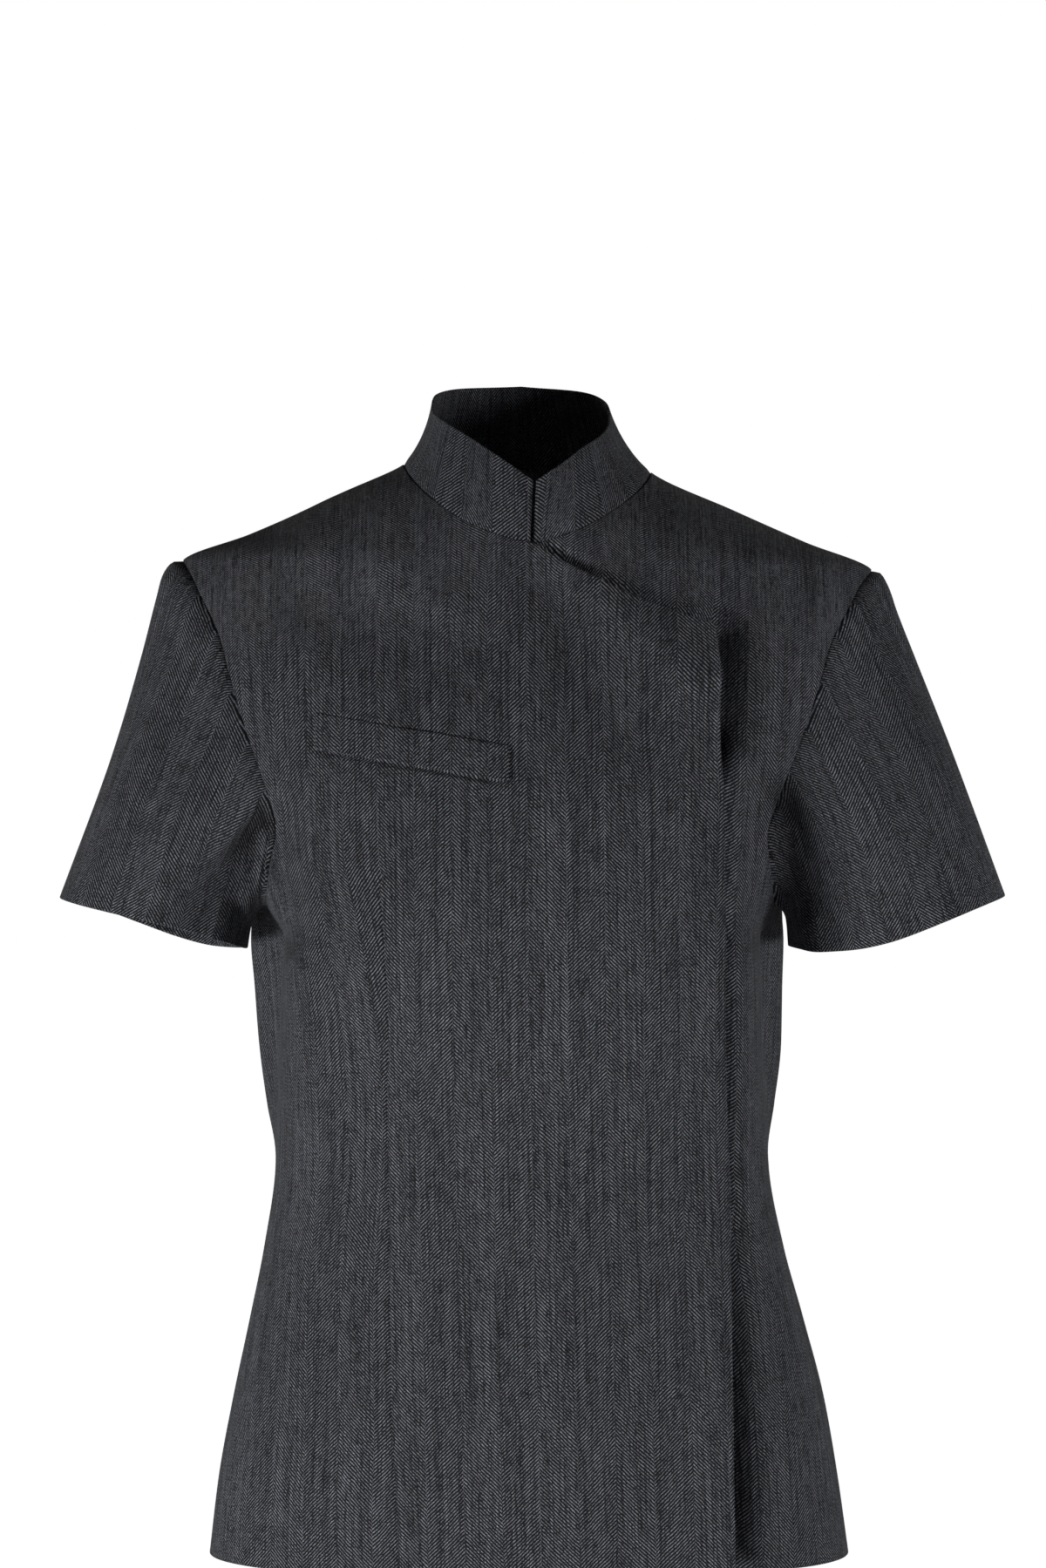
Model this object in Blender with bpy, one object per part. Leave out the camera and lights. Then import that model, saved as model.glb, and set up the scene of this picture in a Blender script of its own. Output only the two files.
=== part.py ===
"""Short-sleeved scrub top with a stand collar and a concealed wrap front, in its worn form.

Seven cut pieces of one cloth: two fronts, a back, two sleeves, a collar and a pocket welt.
Metres, +Z up, front towards -Y, wearer's left towards +X. The origin is the centre of the
neckline, where the wearer's neck and shoulders hold the top up.
"""

import bpy
import numpy as np

# Driving sizes, in metres.
CLOTH = 0.0016  # thickness of every wall
SEAM = 0.0003  # gap between two pieces that are sewn together
SHOULDER_TILT = 0.014  # the wearer's left shoulder hangs lower by this share of the width
TILT_STARTS, TILT_FULL = -0.30, -0.12  # heights between which the tilt comes in
RIGHT_NECK_X, RIGHT_NECK_WIDTH, RIGHT_NECK_RISE = -0.085, 0.040, 0.0029
RIGHT_RISE_STARTS, RIGHT_RISE_FULL = -0.06, -0.02

CLOTH_COLOUR = (0.048, 0.051, 0.056, 1.0)
CLOTH_ROUGHNESS = 0.85


def table(columns, *rows):
    """Rows of numbers under named columns. The first column is the key and it rises."""
    return dict(zip(columns.split(), np.array(rows, float).T))


# Level sections of the body. The seam columns are how far out the side seams stand, and the
# wide columns how far the cloth reaches in front of them and behind. The fronts and the back
# meet at the side seams. Above the shoulder point the ends of a section run up the shoulder
# seam, and above 0 they are the neck's.
SECTIONS = table(
    "height right_seam left_seam right_wide left_wide front_depth back_depth squareness",
    (-0.6210, 0.1823, 0.1842, 0.1823, 0.1842, 0.104, 0.128, 2.30),
    (-0.5750, 0.1768, 0.1777, 0.1768, 0.1777, 0.106, 0.127, 2.30),
    (-0.5300, 0.1685, 0.1698, 0.1685, 0.1698, 0.106, 0.122, 2.28),
    (-0.4850, 0.1590, 0.1580, 0.1590, 0.1580, 0.104, 0.112, 2.25),
    (-0.4450, 0.1510, 0.1470, 0.1510, 0.1470, 0.103, 0.101, 2.25),
    (-0.4000, 0.1445, 0.1385, 0.1477, 0.1407, 0.104, 0.095, 2.25),
    (-0.3650, 0.1433, 0.1367, 0.1550, 0.1470, 0.108, 0.098, 2.28),
    (-0.3300, 0.1422, 0.1348, 0.1603, 0.1517, 0.115, 0.104, 2.30),
    (-0.2950, 0.1405, 0.1340, 0.1633, 0.1525, 0.122, 0.111, 2.35),
    (-0.2700, 0.1385, 0.1330, 0.1655, 0.1533, 0.125, 0.115, 2.38),
    (-0.2500, 0.1490, 0.1415, 0.1645, 0.1520, 0.126, 0.118, 2.38),
    (-0.2100, 0.1640, 0.1570, 0.1680, 0.1605, 0.121, 0.121, 2.35),
    (-0.1600, 0.1810, 0.1760, 0.1810, 0.1760, 0.109, 0.120, 2.25),
    (-0.1100, 0.1970, 0.1950, 0.1970, 0.1950, 0.093, 0.112, 2.10),
    (-0.0750, 0.2030, 0.2030, 0.2030, 0.2030, 0.080, 0.102, 1.95),
    (-0.0550, 0.1980, 0.1980, 0.1980, 0.1980, 0.0725, 0.094, 1.85),
    (-0.0390, 0.1595, 0.1595, 0.1595, 0.1595, 0.0670, 0.086, 1.82),
    (-0.0218, 0.1195, 0.1195, 0.1195, 0.1195, 0.0575, 0.077, 1.82),
    (0.0000, 0.0710, 0.0710, 0.0710, 0.0710, 0.0450, 0.063, 1.85),
    (0.0150, 0.0570, 0.0570, 0.0570, 0.0570, 0.0400, 0.055, 1.90),
)
HEM, UNDERARM, SHOULDER_POINT, NECK_POINT = -0.6200, -0.2500, -0.0550, 0.0
SIDE_SEAM_TURN = 88.0  # degrees from the front centre
SIDE_STARTS, SIDE_ENDS = 30.0, 106.0  # the sections are wide outside these two turns

# The armhole seam at each turn from the underarm (0 degrees) to the shoulder point (180): how
# far out the front's edge stands on either side, and the back's edge as a turn of the body.
ARMHOLE = table(
    "turn right_front left_front back",
    (0, 0.1490, 0.1415, SIDE_SEAM_TURN),
    (30, 0.1478, 0.1400, 109.0),
    (60, 0.1425, 0.1378, 118.5),
    (90, 0.1590, 0.1550, 118.5),
    (120, 0.1735, 0.1705, 117.0),
    (150, 0.1900, 0.1880, 107.0),
    (180, 0.1980, 0.1980, 90.0),
)
ARM_ROWS = 18
LOW_ROWS = 18

# Soft folds, each along a line in front view: depth is above 0 for a ridge.
FOLD_COLUMNS = "from_x from_z to_x to_z width depth"
FRONT_FOLDS = table(
    FOLD_COLUMNS,
    (-0.1350, -0.1650, -0.1330, -0.2250, 0.013, -0.0030),
    (-0.1050, -0.0830, -0.0640, -0.1080, 0.015, -0.0022),
    (-0.0765, -0.0560, -0.0480, -0.0800, 0.012, 0.0015),
    (0.1330, -0.1700, 0.1290, -0.2550, 0.014, -0.0035),
)
BACK_FOLDS = table(
    FOLD_COLUMNS,
    (-0.1050, -0.1500, -0.0500, -0.3200, 0.018, -0.0030),
    (-0.0600, -0.3900, 0.0450, -0.3970, 0.013, -0.0025),
    (0.0000, -0.3500, 0.0750, -0.3620, 0.012, 0.0018),
    (0.1000, -0.1700, 0.0620, -0.3300, 0.018, -0.0030),
)

# Neckline: a dip to the front, level at the back.
NECK_HALF, NECK_DROP, NECK_SHAPE = 0.0710, 0.0447, 1.45
NECK_BACK_RISE = 0.004
CENTRE_FRONT = 0.0022
BACK_NECK_STEPS = 12

# The wrap: the right front's free edge and the left front's edge under it.
WRAP_CORNER_X, WRAP_CORNER_HEIGHT, WRAP_HEM_X = 0.1035, -0.0915, 0.1137
WRAP_SAG = 0.0035  # how far the slanting edge bows below a straight line
WRAP_ROW, NECK_ROW = 7, 10
UNDERLAP_X, UNDERLAP_TOP = -0.035, -0.105
WRAP_CLEAR = CLOTH + SEAM + 0.0006
WRAP_FLAT_X, WRAP_FREE_X = 0.045, 0.115  # the front lies close up to one, and is free past the other

# How much further the wrap's free edge stands away from the underlap.
STAND_OFF = table(
    "height depth",
    (-0.6200, 0.0070),
    (-0.5200, 0.0062),
    (-0.4200, 0.0045),
    (-0.3300, 0.0022),
    (-0.2400, 0.0025),
    (-0.1700, 0.0050),
    (-0.1200, 0.0075),
    (-0.0915, 0.0065),
    (-0.0650, 0.0020),
    (-0.0440, 0.0000),
)


def read(rows, column, at):
    """A column's smooth value at the keys in at: cubic pieces that don't overshoot the rows."""
    key, value = list(rows.values())[0], rows[column]
    step = np.diff(key)
    slope = np.diff(value) / step
    before, after = slope[:-1], slope[1:]
    rising = before * after > 0
    total = np.where(rising, before + after, 1.0)
    inner = np.where(rising, 2 * before * after / total, 0.0)
    tangent = np.concatenate([slope[:1], inner, slope[-1:]])
    i = np.clip(np.searchsorted(key, at, side="right") - 1, 0, len(step) - 1)
    u = np.clip((at - key[i]) / step[i], 0, 1)
    start = (1 + 2 * u) * (1 - u) ** 2 * value[i] + u * (1 - u) ** 2 * step[i] * tangent[i]
    end = u * u * (3 - 2 * u) * value[i + 1] + u * u * (u - 1) * step[i] * tangent[i + 1]
    return start + end


def smooth(low, high, at):
    """0 up to low, 1 past high, and an even S between."""
    u = np.clip((at - low) / (high - low), 0, 1)
    return u * u * (3 - 2 * u)


def unit(vectors):
    return vectors / np.linalg.norm(vectors, axis=-1, keepdims=True)


def fold_depth(folds, x, height):
    """How far the folds raise the surface at a point: each falls off evenly from its line."""
    total = 0
    for row in zip(*folds.values()):
        from_x, from_z, to_x, to_z, width, depth = row
        run_x, run_z = to_x - from_x, to_z - from_z
        share = ((x - from_x) * run_x + (height - from_z) * run_z) / (run_x**2 + run_z**2)
        share = np.clip(share, 0, 1)
        off = np.hypot(x - from_x - share * run_x, height - from_z - share * run_z)
        total = total + depth * np.exp(-((off / width) ** 2))
    return total


def across(turn, height):
    """How far a section stands out at a turn: less beside the side seam than in front and
    behind."""
    angle = np.radians(turn)
    from_front = np.degrees(np.arccos(np.cos(angle)))
    near = smooth(SIDE_STARTS, SIDE_SEAM_TURN, from_front)
    near = near * (1 - smooth(SIDE_SEAM_TURN, SIDE_ENDS, from_front))
    right, left = read(SECTIONS, "right_wide", height), read(SECTIONS, "left_wide", height)
    right = right + (read(SECTIONS, "right_seam", height) - right) * near
    left = left + (read(SECTIONS, "left_seam", height) - left) * near
    s = np.sin(angle)
    power = 2 / read(SECTIONS, "squareness", height)
    return np.sign(s) * np.abs(s) ** power * np.where(s < 0, right, left)


def body(turn, height):
    """Points of the body's surface. turn is in degrees round a section: 0 at the front
    centre, 90 at the wearer's left side, -90 at the right side, 180 at the back centre."""
    turn, height = np.broadcast_arrays(np.asarray(turn, float), np.asarray(height, float))
    x, c = across(turn, height), np.cos(np.radians(turn))
    depth = np.abs(c) ** (2 / read(SECTIONS, "squareness", height))
    facing = smooth(0, 0.35, np.abs(c))
    front = read(SECTIONS, "front_depth", height) * depth
    front = front + facing * fold_depth(FRONT_FOLDS, x, height)
    back = read(SECTIONS, "back_depth", height) * depth
    back = back + facing * fold_depth(BACK_FOLDS, x, height)
    tilt = SHOULDER_TILT * x * smooth(TILT_STARTS, TILT_FULL, height)
    near = np.exp(-(((x - RIGHT_NECK_X) / RIGHT_NECK_WIDTH) ** 2))
    rise = RIGHT_NECK_RISE * near * smooth(RIGHT_RISE_STARTS, RIGHT_RISE_FULL, height)
    return np.stack([x, np.where(c > 0, -front, back), height - tilt + rise], axis=-1)


def turn_at(x, height, behind=False):
    """The turn at which a section is x across, on the front or on the back, found by halving."""
    x, height = np.broadcast_arrays(np.asarray(x, float), np.asarray(height, float))
    low, high = np.zeros(x.shape), np.full(x.shape, 90.0)
    for _ in range(40):
        middle = (low + high) / 2
        turn = np.where(x < 0, -1, 1) * (180 - middle if behind else middle)
        short = np.abs(across(turn, height)) < np.abs(x)
        low, high = np.where(short, middle, low), np.where(short, high, middle)
    return turn


def body_normal(turn, height):
    """Outward unit normals of the body's surface, from points a little apart."""
    nudge_turn, nudge_height = 0.4, 0.0004
    round_ = body(turn + nudge_turn, height) - body(turn - nudge_turn, height)
    up = body(turn, height + nudge_height) - body(turn, height - nudge_height)
    return unit(np.cross(round_, up))


def armhole(side, behind, turns):
    """(turn, height) in the body's terms along one armhole seam, underarm to shoulder point."""

    def height_at(turns):
        return UNDERARM + (SHOULDER_POINT - UNDERARM) * (1 - np.cos(np.radians(turns))) / 2

    if behind:
        return side * read(ARMHOLE, "back", turns), height_at(turns)
    keys = ARMHOLE["turn"]
    x = ARMHOLE["right_front" if side < 0 else "left_front"]
    edge = np.abs(turn_at(side * x, height_at(keys)))
    edge[[0, -1]] = SIDE_SEAM_TURN, 90
    return side * read({"turn": keys, "edge": edge}, "edge", turns), height_at(turns)


def neckline(angles, behind):
    """(x, height) along the neckline, from the centre (0 degrees) to the right neck point (-90)
    or the left one (90)."""
    s, c = np.sin(np.radians(angles)), np.cos(np.radians(angles))
    if behind:
        return NECK_HALF * s, NECK_BACK_RISE * c**2
    power = 2 / NECK_SHAPE
    return NECK_HALF * np.sign(s) * np.abs(s) ** power, -NECK_DROP * np.abs(c) ** power


def neck_angles(count):
    """Angles from the centre of the neckline to the neck point, closer together at its end."""
    return 90 * (1 - (1 - np.linspace(0, 1, count)) ** 1.5)


def between(start, end, count):
    """Rows from start to end, evenly spaced, without the last."""
    share = np.linspace(0, 1, count, endpoint=False)[:, None]
    return np.array(start) + share * (np.array(end) - np.array(start))


def wrap_edge(height):
    """How far across the right front's free edge stands, from the corner down to the hem."""
    share = (WRAP_CORNER_HEIGHT - height) / (WRAP_CORNER_HEIGHT - HEM)
    return WRAP_CORNER_X + (WRAP_HEM_X - WRAP_CORNER_X) * share


def underlap_edge(height):
    """The left front's free edge: upright, then slanting up to the centre front."""
    share = np.clip((height - UNDERLAP_TOP) / (-NECK_DROP - UNDERLAP_TOP), 0, 1)
    return UNDERLAP_X + (CENTRE_FRONT - UNDERLAP_X) * share


def row_heights():
    """Heights of the level rows from the hem to just below the underarm."""
    return np.linspace(HEM, UNDERARM, LOW_ROWS, endpoint=False)


def front_grid(side, columns):
    """(turn, height) of a front. Rows run up from the hem, columns from the free edge to the
    side seam and the armhole."""
    low = row_heights()
    arm_turn, arm_height = armhole(side, False, np.linspace(0, 180, ARM_ROWS + 1))
    seam_turn = side * SIDE_SEAM_TURN
    outer_turn = np.concatenate([np.full(LOW_ROWS, seam_turn), arm_turn])
    outer_height = np.concatenate([low, arm_height])
    neck_x, neck_height = neckline(side * neck_angles(ARM_ROWS - NECK_ROW + 1), False)
    neck_x[0] = CENTRE_FRONT
    if side < 0:
        corner = (WRAP_CORNER_X, WRAP_CORNER_HEIGHT)
        upright = between((wrap_edge(UNDERARM), UNDERARM), corner, WRAP_ROW)
        slant = between(corner, (CENTRE_FRONT, -NECK_DROP), NECK_ROW - WRAP_ROW)
        share = np.linspace(0, 1, NECK_ROW - WRAP_ROW, endpoint=False)
        slant[:, 1] -= WRAP_SAG * np.sin(np.pi * share)
        low_x = wrap_edge(low)
    else:
        corner = (UNDERLAP_X, UNDERLAP_TOP)
        upright = between((UNDERLAP_X, UNDERARM), corner, WRAP_ROW)
        slant = between(corner, (CENTRE_FRONT, -NECK_DROP), NECK_ROW - WRAP_ROW)
        low_x = underlap_edge(low)
    inner = np.concatenate([upright, slant, np.stack([neck_x, neck_height], -1)])
    inner_x = np.concatenate([low_x, inner[:, 0]])
    inner_height = np.concatenate([low, inner[:, 1]])
    inner_turn = turn_at(inner_x, inner_height)
    inner_turn[-1] = outer_turn[-1] = side * 90
    share = np.linspace(0, 1, columns)
    turn = inner_turn[:, None] + (outer_turn - inner_turn)[:, None] * share
    height = inner_height[:, None] + (outer_height - inner_height)[:, None] * share
    return turn, height


def back_grid(shoulder_columns):
    """(turn, height) of the back. Rows run up from the hem to the shoulder seams and the
    neckline between them, columns from the right side to the left."""
    turns = np.linspace(0, 180, ARM_ROWS + 1)
    low = row_heights()
    sides = []
    for side in (-1, 1):
        arm_turn, arm_height = armhole(side, True, turns)
        turn = np.concatenate([np.full(LOW_ROWS, side * SIDE_SEAM_TURN), arm_turn])
        sides.append((turn, np.concatenate([low, arm_height])))
    share_out = np.linspace(0, 1, shoulder_columns, endpoint=False)
    ridge = SHOULDER_POINT + (NECK_POINT - SHOULDER_POINT) * share_out
    neck_x, neck_height = neckline(np.linspace(-90, 90, BACK_NECK_STEPS + 1), True)
    neck_turn = turn_at(neck_x, neck_height, True) % 360
    ends = np.full(shoulder_columns, 90.0)
    top_turn = np.concatenate([360 - ends, neck_turn, ends])
    top_height = np.concatenate([ridge, neck_height, ridge[::-1]])
    (right_turn, right_height), (left_turn, left_height) = sides
    right_turn = right_turn % 360
    share = np.linspace(0, 1, len(top_turn))[None, :]
    turn = right_turn[:, None] + (left_turn - right_turn)[:, None] * share
    height = right_height[:, None] + (left_height - right_height)[:, None] * share
    # The rows above the underarm bend towards the top edge, more the higher they are.
    row = np.arange(len(low) + ARM_ROWS + 1)
    rise = np.clip((row - LOW_ROWS) / ARM_ROWS, 0, 1)[:, None] ** 1.5
    turn = turn + (top_turn - turn[-1])[None, :] * rise
    height = height + (top_height - height[-1])[None, :] * rise
    return turn, height


def shrink_edges(points, edges):
    """Moves the grid's outermost rows and columns in by half a seam's gap."""
    points = points.copy()
    half = SEAM / 2
    if "low" in edges:
        points[0] += half * unit(points[1] - points[0])
    if "high" in edges:
        points[-1] += half * unit(points[-2] - points[-1])
    if "first" in edges:
        points[:, 0] += half * unit(points[:, 1] - points[:, 0])
    if "last" in edges:
        points[:, -1] += half * unit(points[:, -2] - points[:, -1])
    return points


def wall(name, outer, inner, ring=False):
    """A closed solid between two grids of points, outer and inner. A ring's last column is
    joined to its first; otherwise both sides are closed by edge faces."""
    rows, columns = outer.shape[:2]
    index = np.arange(rows * columns).reshape(rows, columns)
    if ring:
        index = np.concatenate([index, index[:, :1]], axis=1)
    a, b, c, d = index[:-1, :-1], index[:-1, 1:], index[1:, 1:], index[1:, :-1]
    sheet = np.stack([a, b, c, d], axis=-1).reshape(-1, 4)
    count = rows * columns
    faces = [sheet, sheet[:, ::-1] + count]
    borders = [index[0], index[-1][::-1]]
    if not ring:
        borders += [index[::-1, 0], index[:, -1]]
    for border in borders:
        near, far = border[:-1], border[1:]
        faces.append(np.stack([far, near, near + count, far + count], axis=-1))
    points = np.concatenate([outer.reshape(-1, 3), inner.reshape(-1, 3)])
    mesh = bpy.data.meshes.new(name)
    mesh.from_pydata(points.tolist(), [], np.concatenate(faces).tolist())
    mesh.validate()
    mesh.shade_smooth()
    mesh.set_sharp_from_angle(angle=np.radians(50))
    mesh.materials.append(cloth_material())
    piece = bpy.data.objects.new(name, mesh)
    bpy.data.collections["scrub_top"].objects.link(piece)
    return piece


def cloth_material():
    """Dark grey woven suiting, one material for every piece."""
    name = "herringbone_cloth"
    if name in bpy.data.materials:
        return bpy.data.materials[name]
    material = bpy.data.materials.new(name)
    material.use_nodes = True
    shader = material.node_tree.nodes["Principled BSDF"]
    shader.inputs["Base Color"].default_value = CLOTH_COLOUR
    shader.inputs["Roughness"].default_value = CLOTH_ROUGHNESS
    shader.inputs["Metallic"].default_value = 0.0
    return material


def wrap_lift(x, height):
    """How far the right front is raised where it lies over the left front."""
    edge = underlap_edge(height)
    over = smooth(edge - 0.040, edge - 0.014, x)
    free = smooth(WRAP_FLAT_X, WRAP_FREE_X, x)
    return WRAP_CLEAR * over + read(STAND_OFF, "depth", height) * free**2


def make_front_right():
    """The wrap-over front: raised where it crosses the other front."""
    turn, height = front_grid(-1, 24)
    points, normals = body(turn, height), body_normal(turn, height)
    points += normals * wrap_lift(points[..., 0], height)[..., None]
    points = shrink_edges(points, ("high", "last"))
    wall("front_right", points[:, ::-1], (points - CLOTH * normals)[:, ::-1])


def make_front_left():
    """The underlap front."""
    turn, height = front_grid(1, 17)
    points, normals = body(turn, height), body_normal(turn, height)
    points = shrink_edges(points, ("high", "last"))
    wall("front_left", points, points - CLOTH * normals)


def make_back():
    turn, height = back_grid(9)
    points, normals = body(turn, height), body_normal(turn, height)
    points = shrink_edges(points, ("high", "first", "last"))
    wall("back", points[:, ::-1], (points - CLOTH * normals)[:, ::-1])


# Sleeves: each section runs from the top of the sleeve to its underside. along is the share
# of the way down the sleeve's outer edge. front_rise and back_rise lift the two halves of a
# section, mostly near the underside.
SLEEVE_COLUMNS = "along top_x top_z under_x under_z depth_front depth_back shift_y front_rise back_rise"
SLEEVE_RIGHT = table(
    SLEEVE_COLUMNS,
    (0.00, 0.1980, -0.0515, 0.1490, -0.2480, 0.0660, 0.0640, 0.000, 0.0000, 0.0000),
    (0.03, 0.2045, -0.0530, 0.1510, -0.2488, 0.0660, 0.0640, 0.000, 0.0000, 0.0000),
    (0.07, 0.2095, -0.0600, 0.1525, -0.2498, 0.0660, 0.0640, -0.001, 0.0000, 0.0000),
    (0.12, 0.2125, -0.0710, 0.1540, -0.2511, 0.0655, 0.0640, -0.001, 0.0000, 0.0000),
    (0.30, 0.2215, -0.1070, 0.1565, -0.2556, 0.0640, 0.0630, -0.003, 0.0005, -0.0020),
    (0.60, 0.2370, -0.1610, 0.1585, -0.2630, 0.0600, 0.0600, -0.006, 0.0010, -0.0040),
    (1.00, 0.2675, -0.2450, 0.1600, -0.2740, 0.0540, 0.0560, -0.010, 0.0022, -0.0062),
)
SLEEVE_LEFT = table(
    SLEEVE_COLUMNS,
    (0.00, 0.1980, -0.0587, 0.1415, -0.2525, 0.0660, 0.0640, 0.000, 0.0000, 0.0000),
    (0.03, 0.2035, -0.0615, 0.1435, -0.2530, 0.0660, 0.0640, 0.000, 0.0000, 0.0000),
    (0.07, 0.2080, -0.0695, 0.1450, -0.2538, 0.0660, 0.0640, 0.000, 0.0000, 0.0000),
    (0.12, 0.2115, -0.0800, 0.1462, -0.2548, 0.0660, 0.0640, 0.000, 0.0000, 0.0000),
    (0.30, 0.2225, -0.1080, 0.1480, -0.2584, 0.0650, 0.0630, 0.000, -0.0020, 0.0010),
    (0.60, 0.2415, -0.1560, 0.1490, -0.2650, 0.0620, 0.0600, -0.001, -0.0045, 0.0020),
    (1.00, 0.2740, -0.2440, 0.1495, -0.2730, 0.0570, 0.0560, -0.002, -0.0083, 0.0030),
)
UNDERSIDE_SHARE = 0.8  # how much stronger a rise is at the underside than halfway up
SLEEVE_STATIONS = (0.0, 0.03, 0.065, 0.11, 0.19, 0.32, 0.48, 0.66, 0.83, 1.0)
SEAM_FADE = 0.7  # the share of the sleeve over which the armhole's own shape fades out


def away_from_panel(along, normals, points, middle):
    """At each point of a seam line, the direction in the panel's surface that leaves the panel,
    which is the one that leads to the middle of the hole."""
    away = unit(np.cross(along, normals))
    return away * np.sign(np.sum(away * (middle - points), axis=-1, keepdims=True))


def start_row(outer, inner, seam, away, normals):
    """Moves a grid's first row so that its wall clears the panel's edge by a seam's gap."""
    outer[0] = seam + SEAM * (away + normals)
    step = inner[0] - seam
    beyond = np.sum(step * away, axis=-1)
    above = np.sum(step * normals, axis=-1)
    inside = (beyond < SEAM) & (above < SEAM)
    inner[0] += np.where(inside, SEAM - beyond, 0)[:, None] * away


def make_sleeve(name, side, rows):
    """A tube from the armhole seam to the hem, turning from the one's plane to the other's."""
    turns = np.linspace(0, 180, ARM_ROWS + 1)
    front_turn, front_height = armhole(side, False, turns)
    back_turn, back_height = armhole(side, True, turns)
    seam_turn = np.concatenate([front_turn, back_turn[-2:0:-1]])
    seam_height = np.concatenate([front_height, back_height[-2:0:-1]])
    seam, normals = body(seam_turn, seam_height), body_normal(seam_turn, seam_height)
    angle = np.radians(np.concatenate([turns, 360 - turns[-2:0:-1]]))
    along = np.array(SLEEVE_STATIONS)[:, None]

    def at(column):
        return read(rows, column, along)

    mix = (1 - np.cos(angle)) / 2
    forward = np.sin(angle)
    x = side * (at("under_x") + (at("top_x") - at("under_x")) * mix)
    depth = np.where(forward > 0, at("depth_front"), at("depth_back"))
    y = at("shift_y") - depth * forward
    rise = np.where(forward > 0, at("front_rise"), at("back_rise"))
    rise = rise * forward**2 * (1 + UNDERSIDE_SHARE * np.cos(angle))
    z = at("under_z") + (at("top_z") - at("under_z")) * mix + rise
    grid = np.stack([x, y, z], axis=-1)
    fade = 1 - smooth(0, SEAM_FADE, along)[..., None]
    grid = grid + (seam - grid[0])[None] * fade
    if side > 0:
        grid, seam, normals = grid[:, ::-1], seam[::-1], normals[::-1]
    along_seam = np.roll(seam, -1, axis=0) - np.roll(seam, 1, axis=0)
    away = away_from_panel(along_seam, normals, seam, seam.mean(axis=0))
    round_ = np.roll(grid, -1, axis=1) - np.roll(grid, 1, axis=1)
    down = np.gradient(grid, axis=0)
    outward = unit(np.cross(round_, down))
    inner = grid - CLOTH * outward
    start_row(grid, inner, seam, away, normals)
    wall(name, grid, inner, ring=True)


# Collar: its top edge round the neck, from the centre front (0 degrees) to the centre back,
# and how far the strip bows outwards at mid height.
COLLAR_TOP = table(
    "turn right_z left_z crown",
    (0, -0.0090, -0.0090, 0.0008),
    (20, 0.0048, 0.0005, 0.0010),
    (40, 0.0170, 0.0110, 0.0008),
    (60, 0.0262, 0.0182, -0.0008),
    (80, 0.0330, 0.0260, -0.0024),
    (105, 0.0445, 0.0400, -0.0028),
    (140, 0.0500, 0.0485, -0.0012),
    (180, 0.0520, 0.0520, -0.0006),
)
COLLAR_TOP_RIGHT_X, COLLAR_TOP_LEFT_X = -0.0550, 0.0475
COLLAR_TOP_FRONT_X, COLLAR_TOP_BACK_X = 0.0040, -0.0036
COLLAR_TOP_FRONT_Y, COLLAR_TOP_BACK_Y = -0.0600, 0.0500
COLLAR_GAP = 0.0014  # between its two ends at the centre front
COLLAR_ROWS = 4
NECK_HOLE_MIDDLE = (0.0, 0.0, 0.02)


def collar_top(turns, side):
    """Points of the collar's top edge on one side."""
    s, c = np.sin(np.radians(turns)), np.cos(np.radians(turns))
    side_x = COLLAR_TOP_RIGHT_X if side < 0 else COLLAR_TOP_LEFT_X
    middle_x = np.where(c > 0, COLLAR_TOP_FRONT_X, COLLAR_TOP_BACK_X)
    x = middle_x + (side_x - middle_x) * s
    y = np.where(c > 0, COLLAR_TOP_FRONT_Y, COLLAR_TOP_BACK_Y) * np.abs(c)
    z = read(COLLAR_TOP, "right_z" if side < 0 else "left_z", turns)
    return np.stack([x, y, z], axis=-1)


def neck_seam(turns, side):
    """(turn, height) of the neckline seam on the body, centre front to centre back."""
    front_x, front_height = neckline(side * np.minimum(turns, 90), False)
    back_x, back_height = neckline(side * (180 - np.maximum(turns, 90)), True)
    front_x[0] = CENTRE_FRONT
    front = turn_at(front_x, front_height)
    back = turn_at(back_x, back_height, True)
    at_front = turns <= 90
    turn = np.where(at_front, front, back)
    turn = np.where(turns >= 180, side * 180, np.where(turns == 90, side * 90, turn))
    return turn, np.where(at_front, front_height, back_height)


def make_collar():
    """One strip round the neck, whose ends nearly meet at the centre front. Its columns meet
    the fronts' and the back's along the neckline."""
    behind = np.linspace(90, 180, BACK_NECK_STEPS // 2 + 1)
    turns = np.concatenate([neck_angles(ARM_ROWS - NECK_ROW + 1), behind[1:]])
    seams, normal_rows, tops = [], [], []
    for side in (-1, 1):
        seam_turn, seam_height = neck_seam(turns, side)
        points, normals = body(seam_turn, seam_height), body_normal(seam_turn, seam_height)
        if side < 0:
            lift = np.where(turns < 90, wrap_lift(points[:, 0], seam_height), 0)
            points += normals * lift[:, None]
        top = collar_top(turns, side)
        points[0, 0] += side * COLLAR_GAP / 2
        top[0, 0] += side * COLLAR_GAP / 2
        seams.append(points)
        normal_rows.append(normals)
        tops.append(top)
    seam = np.concatenate([seams[0], seams[1][-2::-1]])[::-1]
    normals = np.concatenate([normal_rows[0], normal_rows[1][-2::-1]])[::-1]
    top = np.concatenate([tops[0], tops[1][-2::-1]])[::-1]
    share = np.linspace(0, 1, COLLAR_ROWS + 1)[:, None, None]
    grid = seam + (top - seam) * share
    along = np.gradient(seam, axis=0)
    outward = unit(np.cross(along, top - seam))
    crown = read(COLLAR_TOP, "crown", np.concatenate([turns, turns[-2::-1]]))[:, None]
    grid = grid + crown * 4 * share * (1 - share) * outward
    inner = grid - CLOTH * outward
    away = away_from_panel(along, normals, seam, np.array(NECK_HOLE_MIDDLE))
    start_row(grid, inner, seam, away, normals)
    wall("collar", grid, inner)


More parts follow.
